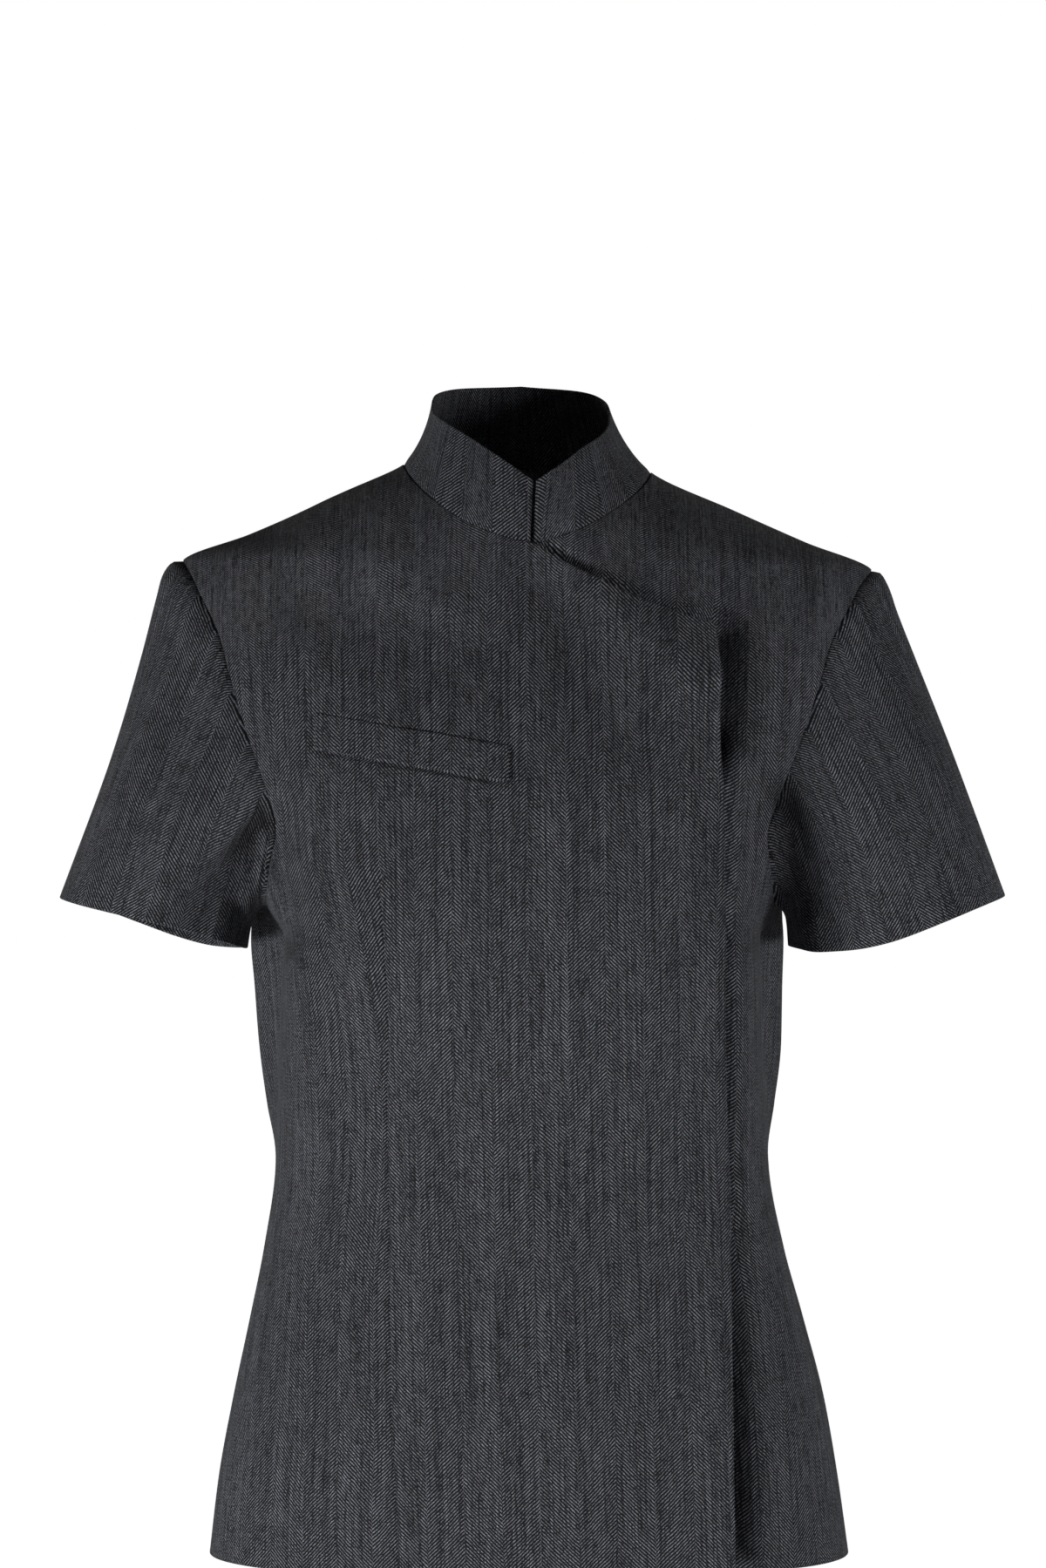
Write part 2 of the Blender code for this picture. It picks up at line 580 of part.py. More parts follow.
# Pocket welt: a slanting strip on the right front.
WELT_RIGHT_X, WELT_LEFT_X = -0.1180, -0.0100
WELT_RIGHT_TOP, WELT_LEFT_TOP, WELT_HEIGHT = -0.1420, -0.1600, 0.0200
WELT_THICKNESS = 0.0010
WELT_COLUMNS, WELT_ROWS = 12, 2


def make_pocket_welt():
    """The welt follows the front's own surface, moved out."""
    share = np.linspace(0, 1, WELT_COLUMNS + 1)[None, :]
    up = np.linspace(0, 1, WELT_ROWS + 1)[:, None]
    x = WELT_RIGHT_X + (WELT_LEFT_X - WELT_RIGHT_X) * share + 0 * up
    top = WELT_RIGHT_TOP + (WELT_LEFT_TOP - WELT_RIGHT_TOP) * share
    height = top - WELT_HEIGHT * (1 - up)
    turn = turn_at(x, height)
    points, normals = body(turn, height), body_normal(turn, height)
    base = points + normals * (SEAM + wrap_lift(x, height))[..., None]
    wall("pocket_welt", base + WELT_THICKNESS * normals, base)


def clear_scene():
    for thing in list(bpy.data.objects):
        bpy.data.objects.remove(thing)
    bpy.context.scene.collection.children.link(bpy.data.collections.new("scrub_top"))


clear_scene()
make_front_right()
make_front_left()
make_back()
make_sleeve("sleeve_right", -1, SLEEVE_RIGHT)
make_sleeve("sleeve_left", 1, SLEEVE_LEFT)
make_collar()
make_pocket_welt()
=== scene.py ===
"""Looks of a short-sleeved scrub top in dark grey herringbone suiting.

Every cut piece of cloth is worked out again on a finer grid than its plain solid, with its
seams rolled in, its edges pressed and its creases laid in. Metres, and millimetres
in the tables, +Z up, front towards -Y, the wearer's left towards +X.
"""

from functools import partial

import bpy
import numpy as np
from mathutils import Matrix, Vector


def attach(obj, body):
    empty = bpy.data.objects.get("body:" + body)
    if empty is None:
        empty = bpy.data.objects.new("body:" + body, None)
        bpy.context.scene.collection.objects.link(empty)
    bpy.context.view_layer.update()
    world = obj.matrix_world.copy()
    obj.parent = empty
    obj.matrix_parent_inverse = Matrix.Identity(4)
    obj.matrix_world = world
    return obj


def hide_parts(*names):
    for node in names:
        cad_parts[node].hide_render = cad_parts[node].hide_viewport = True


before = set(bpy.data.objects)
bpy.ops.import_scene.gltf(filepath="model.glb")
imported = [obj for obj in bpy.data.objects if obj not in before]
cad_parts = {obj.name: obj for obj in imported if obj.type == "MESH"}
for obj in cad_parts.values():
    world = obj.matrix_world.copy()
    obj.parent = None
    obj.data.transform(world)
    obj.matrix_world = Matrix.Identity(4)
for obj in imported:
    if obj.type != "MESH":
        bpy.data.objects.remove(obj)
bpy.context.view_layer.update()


# ------------------------------------------------------------
# The studio: a level camera three metres in front, a pale floor well below the hem, a large
# soft light from the front left, a weak one from the right, one straight behind for the back,
# and a white room behind.

CAMERA_PLACE = (-0.0025, -3.0, -0.180)
CAMERA_LENS, CAMERA_SENSOR, CAMERA_NEAR, CAMERA_FAR = 120.0, 36.0, 0.1, 100.0
FLOOR_HEIGHT, FLOOR_SIZE, FLOOR_ROUGHNESS = -1.45, 60.0, 0.9
FLOOR_COLOUR, WHITE = (0.62, 0.62, 0.62, 1), (1, 1, 1, 1)
AIM = (0.0, 0.0, -0.32)  # the lights point at the middle of the top
LIGHTS = (  # where each one stands, how wide it is, and its power
    ("key", (-1.58, -1.42, -0.86), 0.8, 22.0),
    ("fill", (1.70, -1.25, -0.48), 0.9, 13.2),
    ("back", (0.0, 2.40, -0.25), 1.2, 28.0),
)
# The room's brightness ahead of the top, behind it and overhead, and how far backwards and
# upwards a direction points where it changes from one to the next.
ROOM_AHEAD, ROOM_BEHIND, ROOM_OVERHEAD = 0.03, 0.70, 0.12
ROOM_TURNS, ROOM_DIMS = (-0.1, 0.7), (-0.05, 0.30)


def add_object(name, data):
    added = bpy.data.objects.new(name, data)
    bpy.context.scene.collection.objects.link(added)
    return added


def feed(tree, node, inputs):
    """Links a node's inputs to outputs, or sets them to numbers and colours."""
    for name, value in inputs.items():
        if hasattr(value, "links"):
            tree.links.new(value, node.inputs[name])
        else:
            node.inputs[name].default_value = value


def add_node(tree, kind, inputs={}, **settings):
    node = tree.nodes.new("ShaderNode" + kind)
    for name, value in settings.items():
        setattr(node, name, value)
    feed(tree, node, inputs)
    return node


def math(tree, operation, *values):
    return add_node(tree, "Math", dict(enumerate(values)), operation=operation).outputs[0]


def ramp(tree, value, limits, first, last):
    """An even S from first to last, while the value goes from one limit to the other."""
    inputs = {"From Min": limits[0], "From Max": limits[1], "To Min": first, "To Max": last}
    step = add_node(tree, "MapRange", {"Value": value, **inputs}, interpolation_type="SMOOTHSTEP")
    return step.outputs["Result"]


def make_camera():
    data = bpy.data.cameras.new("camera")
    data.lens, data.sensor_width = CAMERA_LENS, CAMERA_SENSOR
    data.clip_start, data.clip_end = CAMERA_NEAR, CAMERA_FAR
    camera = add_object("camera", data)
    camera.location = CAMERA_PLACE
    camera.rotation_euler = (np.pi / 2, 0, 0)
    bpy.context.scene.camera = camera


def make_light(name, place, size, power):
    data = bpy.data.lights.new(name, "AREA")
    data.shape, data.size, data.energy = "DISK", size, power
    light = add_object(name, data)
    light.location = place
    light.rotation_euler = (Vector(AIM) - Vector(place)).to_track_quat("-Z", "Y").to_euler()


def make_room():
    """The room lights from behind and, weakly, from ahead. The camera sees plain white."""
    world = bpy.data.worlds.new("studio")
    bpy.context.scene.world = world
    world.use_nodes = True
    tree = world.node_tree
    tree.nodes.clear()
    split = add_node(tree, "SeparateXYZ", {0: add_node(tree, "TexCoord").outputs["Generated"]})
    behind = ramp(tree, split.outputs["Y"], ROOM_TURNS, ROOM_AHEAD, ROOM_BEHIND)
    overhead = ramp(tree, split.outputs["Z"], ROOM_DIMS, 1.0, ROOM_OVERHEAD)
    strength = math(tree, "MULTIPLY", behind, overhead)
    lit = add_node(tree, "Background", {"Color": WHITE, "Strength": strength}).outputs[0]
    seen = add_node(tree, "Background", {"Color": WHITE}).outputs[0]
    by_camera = add_node(tree, "LightPath").outputs["Is Camera Ray"]
    mixed = add_node(tree, "MixShader", {0: by_camera, 1: lit, 2: seen})
    add_node(tree, "OutputWorld", {"Surface": mixed.outputs[0]})


def make_floor():
    """One large square, near white to the camera, with a soft shadow below the top."""
    half = FLOOR_SIZE / 2
    mesh = bpy.data.meshes.new("floor")
    corners = [(-half, -half), (half, -half), (half, half), (-half, half)]
    mesh.from_pydata([(x, y, FLOOR_HEIGHT) for x, y in corners], [], [(0, 1, 2, 3)])
    material = bpy.data.materials.new("pale_floor")
    material.use_nodes = True
    tree = material.node_tree
    feed(tree, tree.nodes["Principled BSDF"], {
        "Base Color": FLOOR_COLOUR,
        "Roughness": FLOOR_ROUGHNESS,
        "Emission Color": WHITE,
        "Emission Strength": add_node(tree, "LightPath").outputs["Is Camera Ray"],
    })
    mesh.materials.append(material)
    add_object("floor", mesh)


make_camera()
for light in LIGHTS:
    make_light(*light)
make_room()
make_floor()
bpy.context.scene.view_settings.view_transform = "Standard"


# ------------------------------------------------------------
# The cloth: one suiting for every piece, woven in herringbone. Columns of twill, each 21 mm
# wide, lean by turns to one side and the other, with painted shade on every other column and
# a little painted light on the rest. Light yarns lie on near-black ones, and a short nap
# catches the light at the cloth's edges.

COLUMN_WIDTH = 0.0210  # of one twill column
COLUMNS_BEFORE = 1000.0  # an even count, so that every column's number is above 0
TWILL_RISE = 0.0021  # from one light line of a column to the next, measured up the cloth
LIGHT_YARN, DARK_YARN = (0.262, 0.273, 0.307, 1), (0.0080, 0.0087, 0.0110, 1)
WARM_TINT, COOL_TINT = (1.07, 1.00, 0.95, 1), (0.94, 1.01, 1.06, 1)
TINT_SCALE, TINT_SPREAD, TINT_START = 700.0, 2.4, -0.7
DRIFT_SCALES, DRIFT = (140.0, 60.0), 0.7  # a slow noise moves the lines by a part of a step
LINE_SHARPNESS, LEAST_TONE = 2.8, 0.12
EVEN_COLUMN_PAINTED_LIGHT, ODD_COLUMN_PAINTED_SHADE = 1.03, -0.07  # painted light and shade: the columns that lean one way are painted a little lighter, the others darker, for the light that each catches
YARN_RELIEF, RELIEF_STRENGTH, TONE_RELIEF = 0.00022, 0.6, 0.3
CLOTH_NAME = "herringbone_cloth"

# The yarns aren't evenly dyed or spun: how long each kind of mark is across the cloth and up
# it, and how strongly it shows.
UNEVENNESS = (
    ("specks", 0.0009, 0.0009, 3.7),
    ("warp_yarns", 0.0012, 0.0900, 2.2),
    ("warp_slubs", 0.0013, 0.0120, 1.95),
    ("warp_bands", 0.0050, 0.2500, 0.75),
    ("weft_yarns", 0.0120, 0.0009, 1.4),
    ("clouds", 0.0110, 0.0150, 0.38),
)


def noise(tree, cloth, across_scale, up_scale, detail, roughness=0.5):
    """A noise over the cloth, with its own scale across it and up it, around 0.5."""
    scales = (across_scale, up_scale, 1.0)
    stretched = add_node(tree, "VectorMath", {0: cloth, 1: scales}, operation="MULTIPLY")
    inputs = {"Vector": stretched.outputs[0], "Scale": 1.0}
    inputs.update({"Detail": detail, "Roughness": roughness})
    return add_node(tree, "TexNoise", inputs, noise_dimensions="2D").outputs["Fac"]


def mixed(tree, share, first, second, **settings):
    """A colour between two or, with blend_type MULTIPLY, one tinted by the other."""
    inputs = {"Factor": share, "A": first, "B": second}
    return add_node(tree, "Mix", inputs, data_type="RGBA", **settings).outputs["Result"]


def weave(tree, cloth):
    """(share of light yarn, tint, height) at cloth coordinates in metres.

    With u across and v up the cloth, the phase of the twill is (v + fold(u)) / rise, where
    fold runs up and down over each two columns, half a step later in every other column.
    """
    split = add_node(tree, "SeparateXYZ", {0: cloth})
    u, v = split.outputs["X"], split.outputs["Y"]
    column = math(tree, "FLOOR", math(tree, "DIVIDE", u, COLUMN_WIDTH))
    odd = math(tree, "MODULO", math(tree, "ADD", column, COLUMNS_BEFORE), 2.0)
    phase = math(tree, "ADD", v, math(tree, "PINGPONG", u, COLUMN_WIDTH))
    phase = math(tree, "DIVIDE", phase, TWILL_RISE)
    phase = math(tree, "ADD", phase, math(tree, "MULTIPLY", odd, 0.5))
    drift = math(tree, "MULTIPLY", noise(tree, cloth, *DRIFT_SCALES, 2.0), DRIFT)
    wave = math(tree, "MULTIPLY", math(tree, "ADD", phase, drift), 2 * np.pi)
    line = math(tree, "MULTIPLY_ADD", math(tree, "COSINE", wave), 0.5, 0.5)
    line = math(tree, "POWER", line, LINE_SHARPNESS)
    tone = 1.0
    for _, wide, tall, strength in UNEVENNESS:
        mark = noise(tree, cloth, 1 / wide, 1 / tall, 2.0, 0.55)
        tone = math(tree, "ADD", tone, math(tree, "MULTIPLY_ADD", mark, strength, -strength / 2))
    tone = math(tree, "MAXIMUM", tone, LEAST_TONE)
    # Painted shade and light: every other column is darker and the rest a little lighter,
    # standing in for the light that each twill catches.
    lean = math(tree, "MULTIPLY_ADD", odd, ODD_COLUMN_PAINTED_SHADE, EVEN_COLUMN_PAINTED_LIGHT)
    yarn = math(tree, "MULTIPLY", math(tree, "MULTIPLY", line, tone), lean)
    height = math(tree, "MULTIPLY_ADD", tone, TONE_RELIEF, line)
    return yarn, noise(tree, cloth, TINT_SCALE, TINT_SCALE, 1.0), height


def make_cloth():
    material = bpy.data.materials.new(CLOTH_NAME)
    material.use_nodes = True
    tree = material.node_tree
    yarn, tint, height = weave(tree, add_node(tree, "UVMap", uv_map="cloth").outputs[0])
    yarns = mixed(tree, yarn, DARK_YARN, LIGHT_YARN, clamp_factor=False)
    tint = math(tree, "MULTIPLY_ADD", tint, TINT_SPREAD, TINT_START)
    tint = mixed(tree, tint, WARM_TINT, COOL_TINT)
    relief = {"Distance": YARN_RELIEF, "Strength": RELIEF_STRENGTH, "Height": height}
    feed(tree, tree.nodes["Principled BSDF"], {
        "Base Color": mixed(tree, 1.0, yarns, tint, blend_type="MULTIPLY"),
        "Normal": add_node(tree, "Bump", relief).outputs[0],
        "Roughness": 0.85,
        "Specular IOR Level": 0.25,
        "Sheen Weight": 0.10,
        "Sheen Roughness": 0.45,
        "Sheen Tint": (0.82, 0.78, 0.74, 1),
    })
    return material


cloth_material = make_cloth()


# ------------------------------------------------------------
# The wearer's right front: the panel that wraps over the other front. Its free edge is a
# pressed fold that slants down from the collar to a squared corner and then falls to the hem,
# and one long dart shapes it from the bust to the hem. Darts and seams are sewn from inside.

CLOTH = 0.0016  # thickness of the cloth
SEAM = 0.0003  # gap between two pieces that are sewn together
SHOULDER_TILT = 0.014  # the wearer's left shoulder hangs lower by this share of the width
TILT_STARTS, TILT_FULL = -0.30, -0.12  # heights between which the tilt comes in
RIGHT_NECK_X, RIGHT_NECK_WIDTH, RIGHT_NECK_RISE = -0.085, 0.040, 0.0029
RIGHT_RISE_STARTS, RIGHT_RISE_FULL = -0.06, -0.02


def table(columns, *rows, plain=""):
    """Rows of numbers under named columns, millimetres in all but the plain ones. The first
    column is the key and it rises."""
    return {
        name: np.array(column, float) / (1 if name in plain.split() else 1000)
        for name, column in zip(columns.split(), zip(*rows))
    }


# Level sections of the body: how far out its side seams stand, how far out the cloth reaches
# in front of them and behind, its depths, and how square a section is.
SECTIONS = table(
    "height right_seam left_seam right_wide left_wide front_depth back_depth squareness",
    (-621, 182.3, 184.2, 182.3, 184.2, 104, 128, 2.3),
    (-575, 176.8, 177.7, 176.8, 177.7, 106, 127, 2.3),
    (-530, 168.5, 169.8, 168.5, 169.8, 106, 122, 2.28),
    (-485, 159, 158, 159, 158, 104, 112, 2.25),
    (-445, 151, 147, 151, 147, 103, 101, 2.25),
    (-400, 144.5, 138.5, 147.7, 140.7, 104, 95, 2.25),
    (-365, 143.3, 136.7, 155, 147, 108, 98, 2.28),
    (-330, 142.2, 134.8, 160.3, 151.7, 115, 104, 2.3),
    (-295, 140.5, 134, 163.3, 152.5, 122, 111, 2.35),
    (-270, 138.5, 133, 165.5, 153.3, 125, 115, 2.38),
    (-250, 149, 141.5, 164.5, 152, 126, 118, 2.38),
    (-210, 164, 157, 168, 160.5, 121, 121, 2.35),
    (-160, 181, 176, 181, 176, 109, 120, 2.25),
    (-110, 197, 195, 197, 195, 93, 112, 2.1),
    (-75, 203, 203, 203, 203, 80, 102, 1.95),
    (-55, 198, 198, 198, 198, 72.5, 94, 1.85),
    (-39, 159.5, 159.5, 159.5, 159.5, 67, 86, 1.82),
    (-21.8, 119.5, 119.5, 119.5, 119.5, 57.5, 77, 1.82),
    (0, 71, 71, 71, 71, 45, 63, 1.85),
    (15, 57, 57, 57, 57, 40, 55, 1.9),
    plain="squareness",
)
HEM, UNDERARM, SHOULDER_POINT, NECK_POINT = -0.6200, -0.2500, -0.0550, 0.0
SIDE_SEAM_TURN = 88.0  # degrees from the front centre
SIDE_STARTS, SIDE_ENDS = 30.0, 106.0  # the sections are wide outside these two turns
FOLDS_FADE = 0.35  # the folds fade out where the cosine of the turn is less than this

# The armhole seam at each turn from the underarm (0 degrees) to the shoulder point (180).
ARMHOLE = table(
    "turn right_front left_front back",
    (0, 149, 141.5, SIDE_SEAM_TURN),
    (30, 147.8, 140, 109),
    (60, 142.5, 137.8, 118.5),
    (90, 159, 155, 118.5),
    (120, 173.5, 170.5, 117),
    (150, 190, 188, 107),
    (180, 198, 198, 90),
    plain="turn back",
)

# Folds and creases, each along a line in front view: depth is above 0 for a ridge.
FOLD_COLUMNS = "from_x from_z to_x to_z width depth"
FRONT_FOLDS = table(
    FOLD_COLUMNS,
    (-138.5, -205, -134.5, -264, 11.5, -27),
    (-125, -78, -42, -108, 21, -6.2),
    (-76.5, -56, -48, -80, 12, 1.5),
    (133.5, -193, 130.5, -254, 18.5, -32),
    # Below the collar, and across the chest beside the pocket.
    (-62, -99, -26, -120, 6.5, 1),
    (-102, -106, -72, -130, 13, -1.4),
    (-94, -60, -40, -52, 9, 0.9),
    (12, -72, 52, -150, 15, -4.6),
    (38, -68, 92, -118, 14, 4.2),
    (-6, -185, 78, -188, 15, 1.2),
    (-118, -180, -78, -188, 14, 1.2),
    # Beside the armholes.
    (-160, -130, -148, -185, 8, 1.1),
    (-147, -190, -138, -225, 5, 1),
    (153, -135, 144, -190, 8, 1),
    # Where the waist draws in, and the soft flutes below it.
    (-130, -265, -126, -360, 22, 3.5),
    (-92.5, -205, -90, -290, 9, -1.8),
    (-68, -245, -69, -350, 8, 1.2),
    (-118, -305, -95, -330, 10, -0.8),
    (-120, -370, -90, -390, 11, 1),
    (50, -356, 90, -362, 12, -0.7),
    (17, -430, 23, -620, 24, 2.4),
    (93, -450, 102, -620, 28, -4.8),
    (-43, -460, -46, -620, 20, -2),
    (-112, -450, -123, -620, 28, 3),
    (150, -470, 158, -620, 16, 1.2),
)
BACK_FOLDS = table(
    FOLD_COLUMNS,
    (-105, -150, -50, -320, 18, -3),
    (-60, -390, 45, -397, 13, -2.5),
    (0, -350, 75, -362, 12, 1.8),
    (100, -170, 62, -330, 18, -3),
    # Across the shoulder blades and from the armholes.
    (-110, -90, -45, -115, 12, 1.2),
    (50, -105, 115, -85, 12, 1.3),
    (-135, -195, -95, -235, 9, 1.2),
    (130, -200, 90, -245, 9, 1.2),
    (-20, -70, 18, -73, 8, -0.8),
    # Across the small of the back, and the flutes below it.
    (-110, -360, -75, -385, 9, -1.2),
    (85, -375, 115, -360, 9, -1.2),
    (-30, -420, 60, -415, 10, 1.2),
    (-70, -480, -85, -620, 18, 1.6),
    (0, -470, 4, -620, 17, -1.4),
    (75, -480, 90, -620, 18, 1.6),
)
UNDERLAP_FOLDS = table(
    FOLD_COLUMNS,
    # Beside the wrap's edge the front under it sinks in, most of all near the corner.
    (106, -96, 106.5, -150, 12.5, -15),
    (107.4, -150, 112.6, -420, 5.5, -13),
    (112.5, -430, 115, -620, 10, -14),
    # And it falls away from the slanting edge.
    (12, -51.5, 96, -93, 5.5, -4),
)

# The neckline, the wrap's free edge and the edge of the front under it.
NECK_HALF, NECK_DROP, NECK_SHAPE = 0.0710, 0.0447, 1.45
NECK_BACK_RISE = 0.004
CENTRE_FRONT = 0.0022
WRAP_CORNER_X, WRAP_CORNER_HEIGHT, WRAP_HEM_X = 0.1035, -0.0915, 0.1137
WRAP_SAG = 0.0035  # how far the slanting edge bows below a straight line
UNDERLAP_X, UNDERLAP_TOP = -0.035, -0.105
# The wrap rises over the underlap's edge, and stands off more and more towards its own.
WRAP_CLEAR, RISE_STARTS, RISE_ENDS = CLOTH + SEAM + 0.0006, -0.040, -0.014
WRAP_FLAT_X, WRAP_FREE_X = 0.045, 0.115
STAND_OFF = table(
    "height depth",
    (-620, 7),
    (-520, 6.2),
    (-420, 4.5),
    (-330, 2.2),
    (-240, 2.5),
    (-170, 5),
    (-120, 7.5),
    (-91.5, 6.5),
    (-65, 2),
    (-44, 0),
)

# A panel's rows are numbered up its edges: from the hem to the underarm, from there to the
# wrap's corner, to the collar's front end, and to the shoulder seam.
UNDERARM_ROW, CORNER_ROW, NECK_ROW, SHOULDER_ROW = 18, 25, 28, 36
CORNER_ROUND = 0.11  # the corner is rounded over these shares of a row below and above it
TOP_BEND = 1.5  # how unevenly a panel's rows take on the neckline's curve
EDGE_STEPS = np.array([0.0, 0.00010, 0.00036, 0.00080, 0.00160])
PANEL_SPACING, ROWS_CLEAR = 0.0030, 0.03  # between a panel's rows, and round an extra row
LEAST_LEAVE = 0.10  # where an edge runs level with its row, the close lines stay near it
ARM_SEAM_DEPTH, NECK_SEAM_DEPTH, SEAM_WIDTH = 0.0010, 0.0007, 0.0010
TUCK = 0.0002  # how far a sewn-on edge reaches into the edge that it is sewn to
CHEST, LEAN_FROM, LEAN_HEIGHTS = -0.1000, 0.0800, (-0.1200, -0.0500)
HALVINGS, GIRTH_STEPS, FINE_ROWS = 30, 24, 3001  # how finely lengths and turns are found
NUDGE_TURN, NUDGE_HEIGHT, NUDGE_SHARE = 0.4, 0.0004, 0.004  # steps that give a direction


def mix(start, end, share):
    return start + (end - start) * share


def part(low, high, at):
    """0 up to low, 1 past high, and straight between."""
    return np.clip((at - low) / (high - low), 0, 1)


def smooth(low, high, at):
    """0 up to low, 1 past high, and an even S between."""
    u = part(low, high, at)
    return u * u * (3 - 2 * u)


def bell(off, width):
    return np.exp(-((off / width) ** 2))


def stack(*parts):
    return np.stack(parts, axis=-1)


def sin_cos(degrees):
    return np.sin(np.radians(degrees)), np.cos(np.radians(degrees))


def unit(vectors):
    return vectors / np.linalg.norm(vectors, axis=-1, keepdims=True)


def run_along(points):
    """Distance run down each column of points, from its first one."""
    steps = np.linalg.norm(np.diff(points, axis=0), axis=-1)
    return np.concatenate([np.zeros_like(steps[:1]), np.cumsum(steps, axis=0)])


def read(rows, column, at):
    """A column's smooth value at the keys in at: cubic pieces that don't overshoot the rows."""
    key, value = list(rows.values())[0], rows[column]
    step = np.diff(key)
    slope = np.diff(value) / step
    before, after = slope[:-1], slope[1:]
    rising = before * after > 0
    total = np.where(rising, before + after, 1.0)
    inner = np.where(rising, 2 * before * after / total, 0.0)
    tangent = np.concatenate([slope[:1], inner, slope[-1:]])
    i = np.clip(np.searchsorted(key, at, side="right") - 1, 0, len(step) - 1)
    u = np.clip((at - key[i]) / step[i], 0, 1)
    start = (1 + 2 * u) * (1 - u) ** 2 * value[i] + u * (1 - u) ** 2 * step[i] * tangent[i]
    end = u * u * (3 - 2 * u) * value[i + 1] + u * u * (u - 1) * step[i] * tangent[i + 1]
    return start + end


def fold_depth(folds, x, height):
    """How far the folds raise the surface: each is a bell curve of the distance to its line."""
    total = 0
    for from_x, from_z, to_x, to_z, width, depth in zip(*folds.values()):
        run_x, run_z = to_x - from_x, to_z - from_z
        share = ((x - from_x) * run_x + (height - from_z) * run_z) / (run_x**2 + run_z**2)
        share = np.clip(share, 0, 1)
        off = np.hypot(x - from_x - share * run_x, height - from_z - share * run_z)
        total = total + depth * bell(off, width)
    return total


def section(column, height):
    return read(SECTIONS, column, height)


def across(turn, height):
    """How far a section stands out at a turn: less beside the side seam."""
    angle = np.radians(turn)
    from_front = np.degrees(np.arccos(np.cos(angle)))
    near = smooth(SIDE_STARTS, SIDE_SEAM_TURN, from_front)
    near = near * (1 - smooth(SIDE_SEAM_TURN, SIDE_ENDS, from_front))
    right, left = (
        mix(section(side + "_wide", height), section(side + "_seam", height), near)
        for side in ("right", "left")
    )
    s = np.sin(angle)
    power = 2 / section("squareness", height)
    return np.sign(s) * np.abs(s) ** power * np.where(s < 0, right, left)


def body(turn, height):
    """Points of the body's surface: a superellipse at each height, tilted with the shoulders,
    with the folds added to its depth. turn is 0 at the front centre, 90 at the left side."""
    turn, height = np.broadcast_arrays(np.asarray(turn, float), np.asarray(height, float))
    x, (_, c) = across(turn, height), sin_cos(turn)
    depth = np.abs(c) ** (2 / section("squareness", height))
    facing = smooth(0, FOLDS_FADE, np.abs(c))
    front, back = (
        section(name, height) * depth + facing * fold_depth(folds, x, height)
        for name, folds in (("front_depth", FRONT_FOLDS), ("back_depth", BACK_FOLDS))
    )
    tilt = SHOULDER_TILT * x * smooth(TILT_STARTS, TILT_FULL, height)
    rise = RIGHT_NECK_RISE * bell(x - RIGHT_NECK_X, RIGHT_NECK_WIDTH)
    rise = rise * smooth(RIGHT_RISE_STARTS, RIGHT_RISE_FULL, height)
    return stack(x, np.where(c > 0, -front, back), height - tilt + rise)


def skin(turn, height):
    """Points of the body's surface and its outward unit normals, from points a little apart."""
    round_ = body(turn + NUDGE_TURN, height) - body(turn - NUDGE_TURN, height)
    up = body(turn, height + NUDGE_HEIGHT) - body(turn, height - NUDGE_HEIGHT)
    return body(turn, height), unit(np.cross(round_, up))


def turn_at(x, height, behind=False):
    """The turn at which a section is x across, on the front or on the back, found by halving."""
    x, height = np.broadcast_arrays(np.asarray(x, float), np.asarray(height, float))
    low, high = np.zeros(x.shape), np.full(x.shape, 90.0)
    for _ in range(HALVINGS):
        middle = (low + high) / 2
        turn = np.where(x < 0, -1, 1) * (180 - middle if behind else middle)
        short = np.abs(across(turn, height)) < np.abs(x)
        low, high = np.where(short, middle, low), np.where(short, high, middle)
    return turn


def girth(turn, height, centre):
    """Distance round a level section from the turn centre: the sum of equal steps' lengths."""
    share = np.linspace(0, 1, GIRTH_STEPS + 1)
    stops = centre + (turn - centre)[..., None] * share
    level = np.broadcast_to(height[..., None], stops.shape)
    _, c = sin_cos(stops)
    depth = np.where(c > 0, section("front_depth", level), section("back_depth", level))
    y = depth * np.abs(c) ** (2 / section("squareness", level))
    length = np.hypot(np.diff(across(stops, level)), np.diff(y)).sum(-1)
    return np.sign(turn - centre) * length


def armhole(side, behind, turns):
    """(turn, height) in the body's terms along one armhole seam, underarm to shoulder point."""

    def height_at(turns):
        return mix(UNDERARM, SHOULDER_POINT, (1 - sin_cos(turns)[1]) / 2)

    if behind:
        return side * read(ARMHOLE, "back", turns), height_at(turns)
    keys = ARMHOLE["turn"]
    x = ARMHOLE["right_front" if side < 0 else "left_front"]
    edge = np.abs(turn_at(side * x, height_at(keys)))
    edge[[0, -1]] = SIDE_SEAM_TURN, 90
    return side * read({"turn": keys, "edge": edge}, "edge", turns), height_at(turns)


def neckline(angles, behind):
    """(x, height) along the neckline, from the centre (0 degrees) to a neck point (-90 or 90)."""
    s, c = sin_cos(angles)
    if behind:
        return NECK_HALF * s, NECK_BACK_RISE * c**2
    power = 2 / NECK_SHAPE
    return NECK_HALF * np.sign(s) * np.abs(s) ** power, -NECK_DROP * np.abs(c) ** power


def wrap_edge(height):
    """How far across the wrap's free edge stands, from the corner down to the hem."""
    share = (WRAP_CORNER_HEIGHT - height) / (WRAP_CORNER_HEIGHT - HEM)
    return mix(WRAP_CORNER_X, WRAP_HEM_X, share)


def underlap_edge(height):
    """The left front's free edge: upright, then slanting up to the centre front."""
    return mix(UNDERLAP_X, CENTRE_FRONT, part(UNDERLAP_TOP, -NECK_DROP, height))


def wrap_lift(x, height):
    """How far the right front is raised where it lies over the left front."""
    edge = underlap_edge(height)
    over = smooth(edge + RISE_STARTS, edge + RISE_ENDS, x)
    free = smooth(WRAP_FLAT_X, WRAP_FREE_X, x)
    return WRAP_CLEAR * over + read(STAND_OFF, "depth", height) * free**2


def low_height(row):
    return mix(HEM, UNDERARM, part(0, UNDERARM_ROW, row))


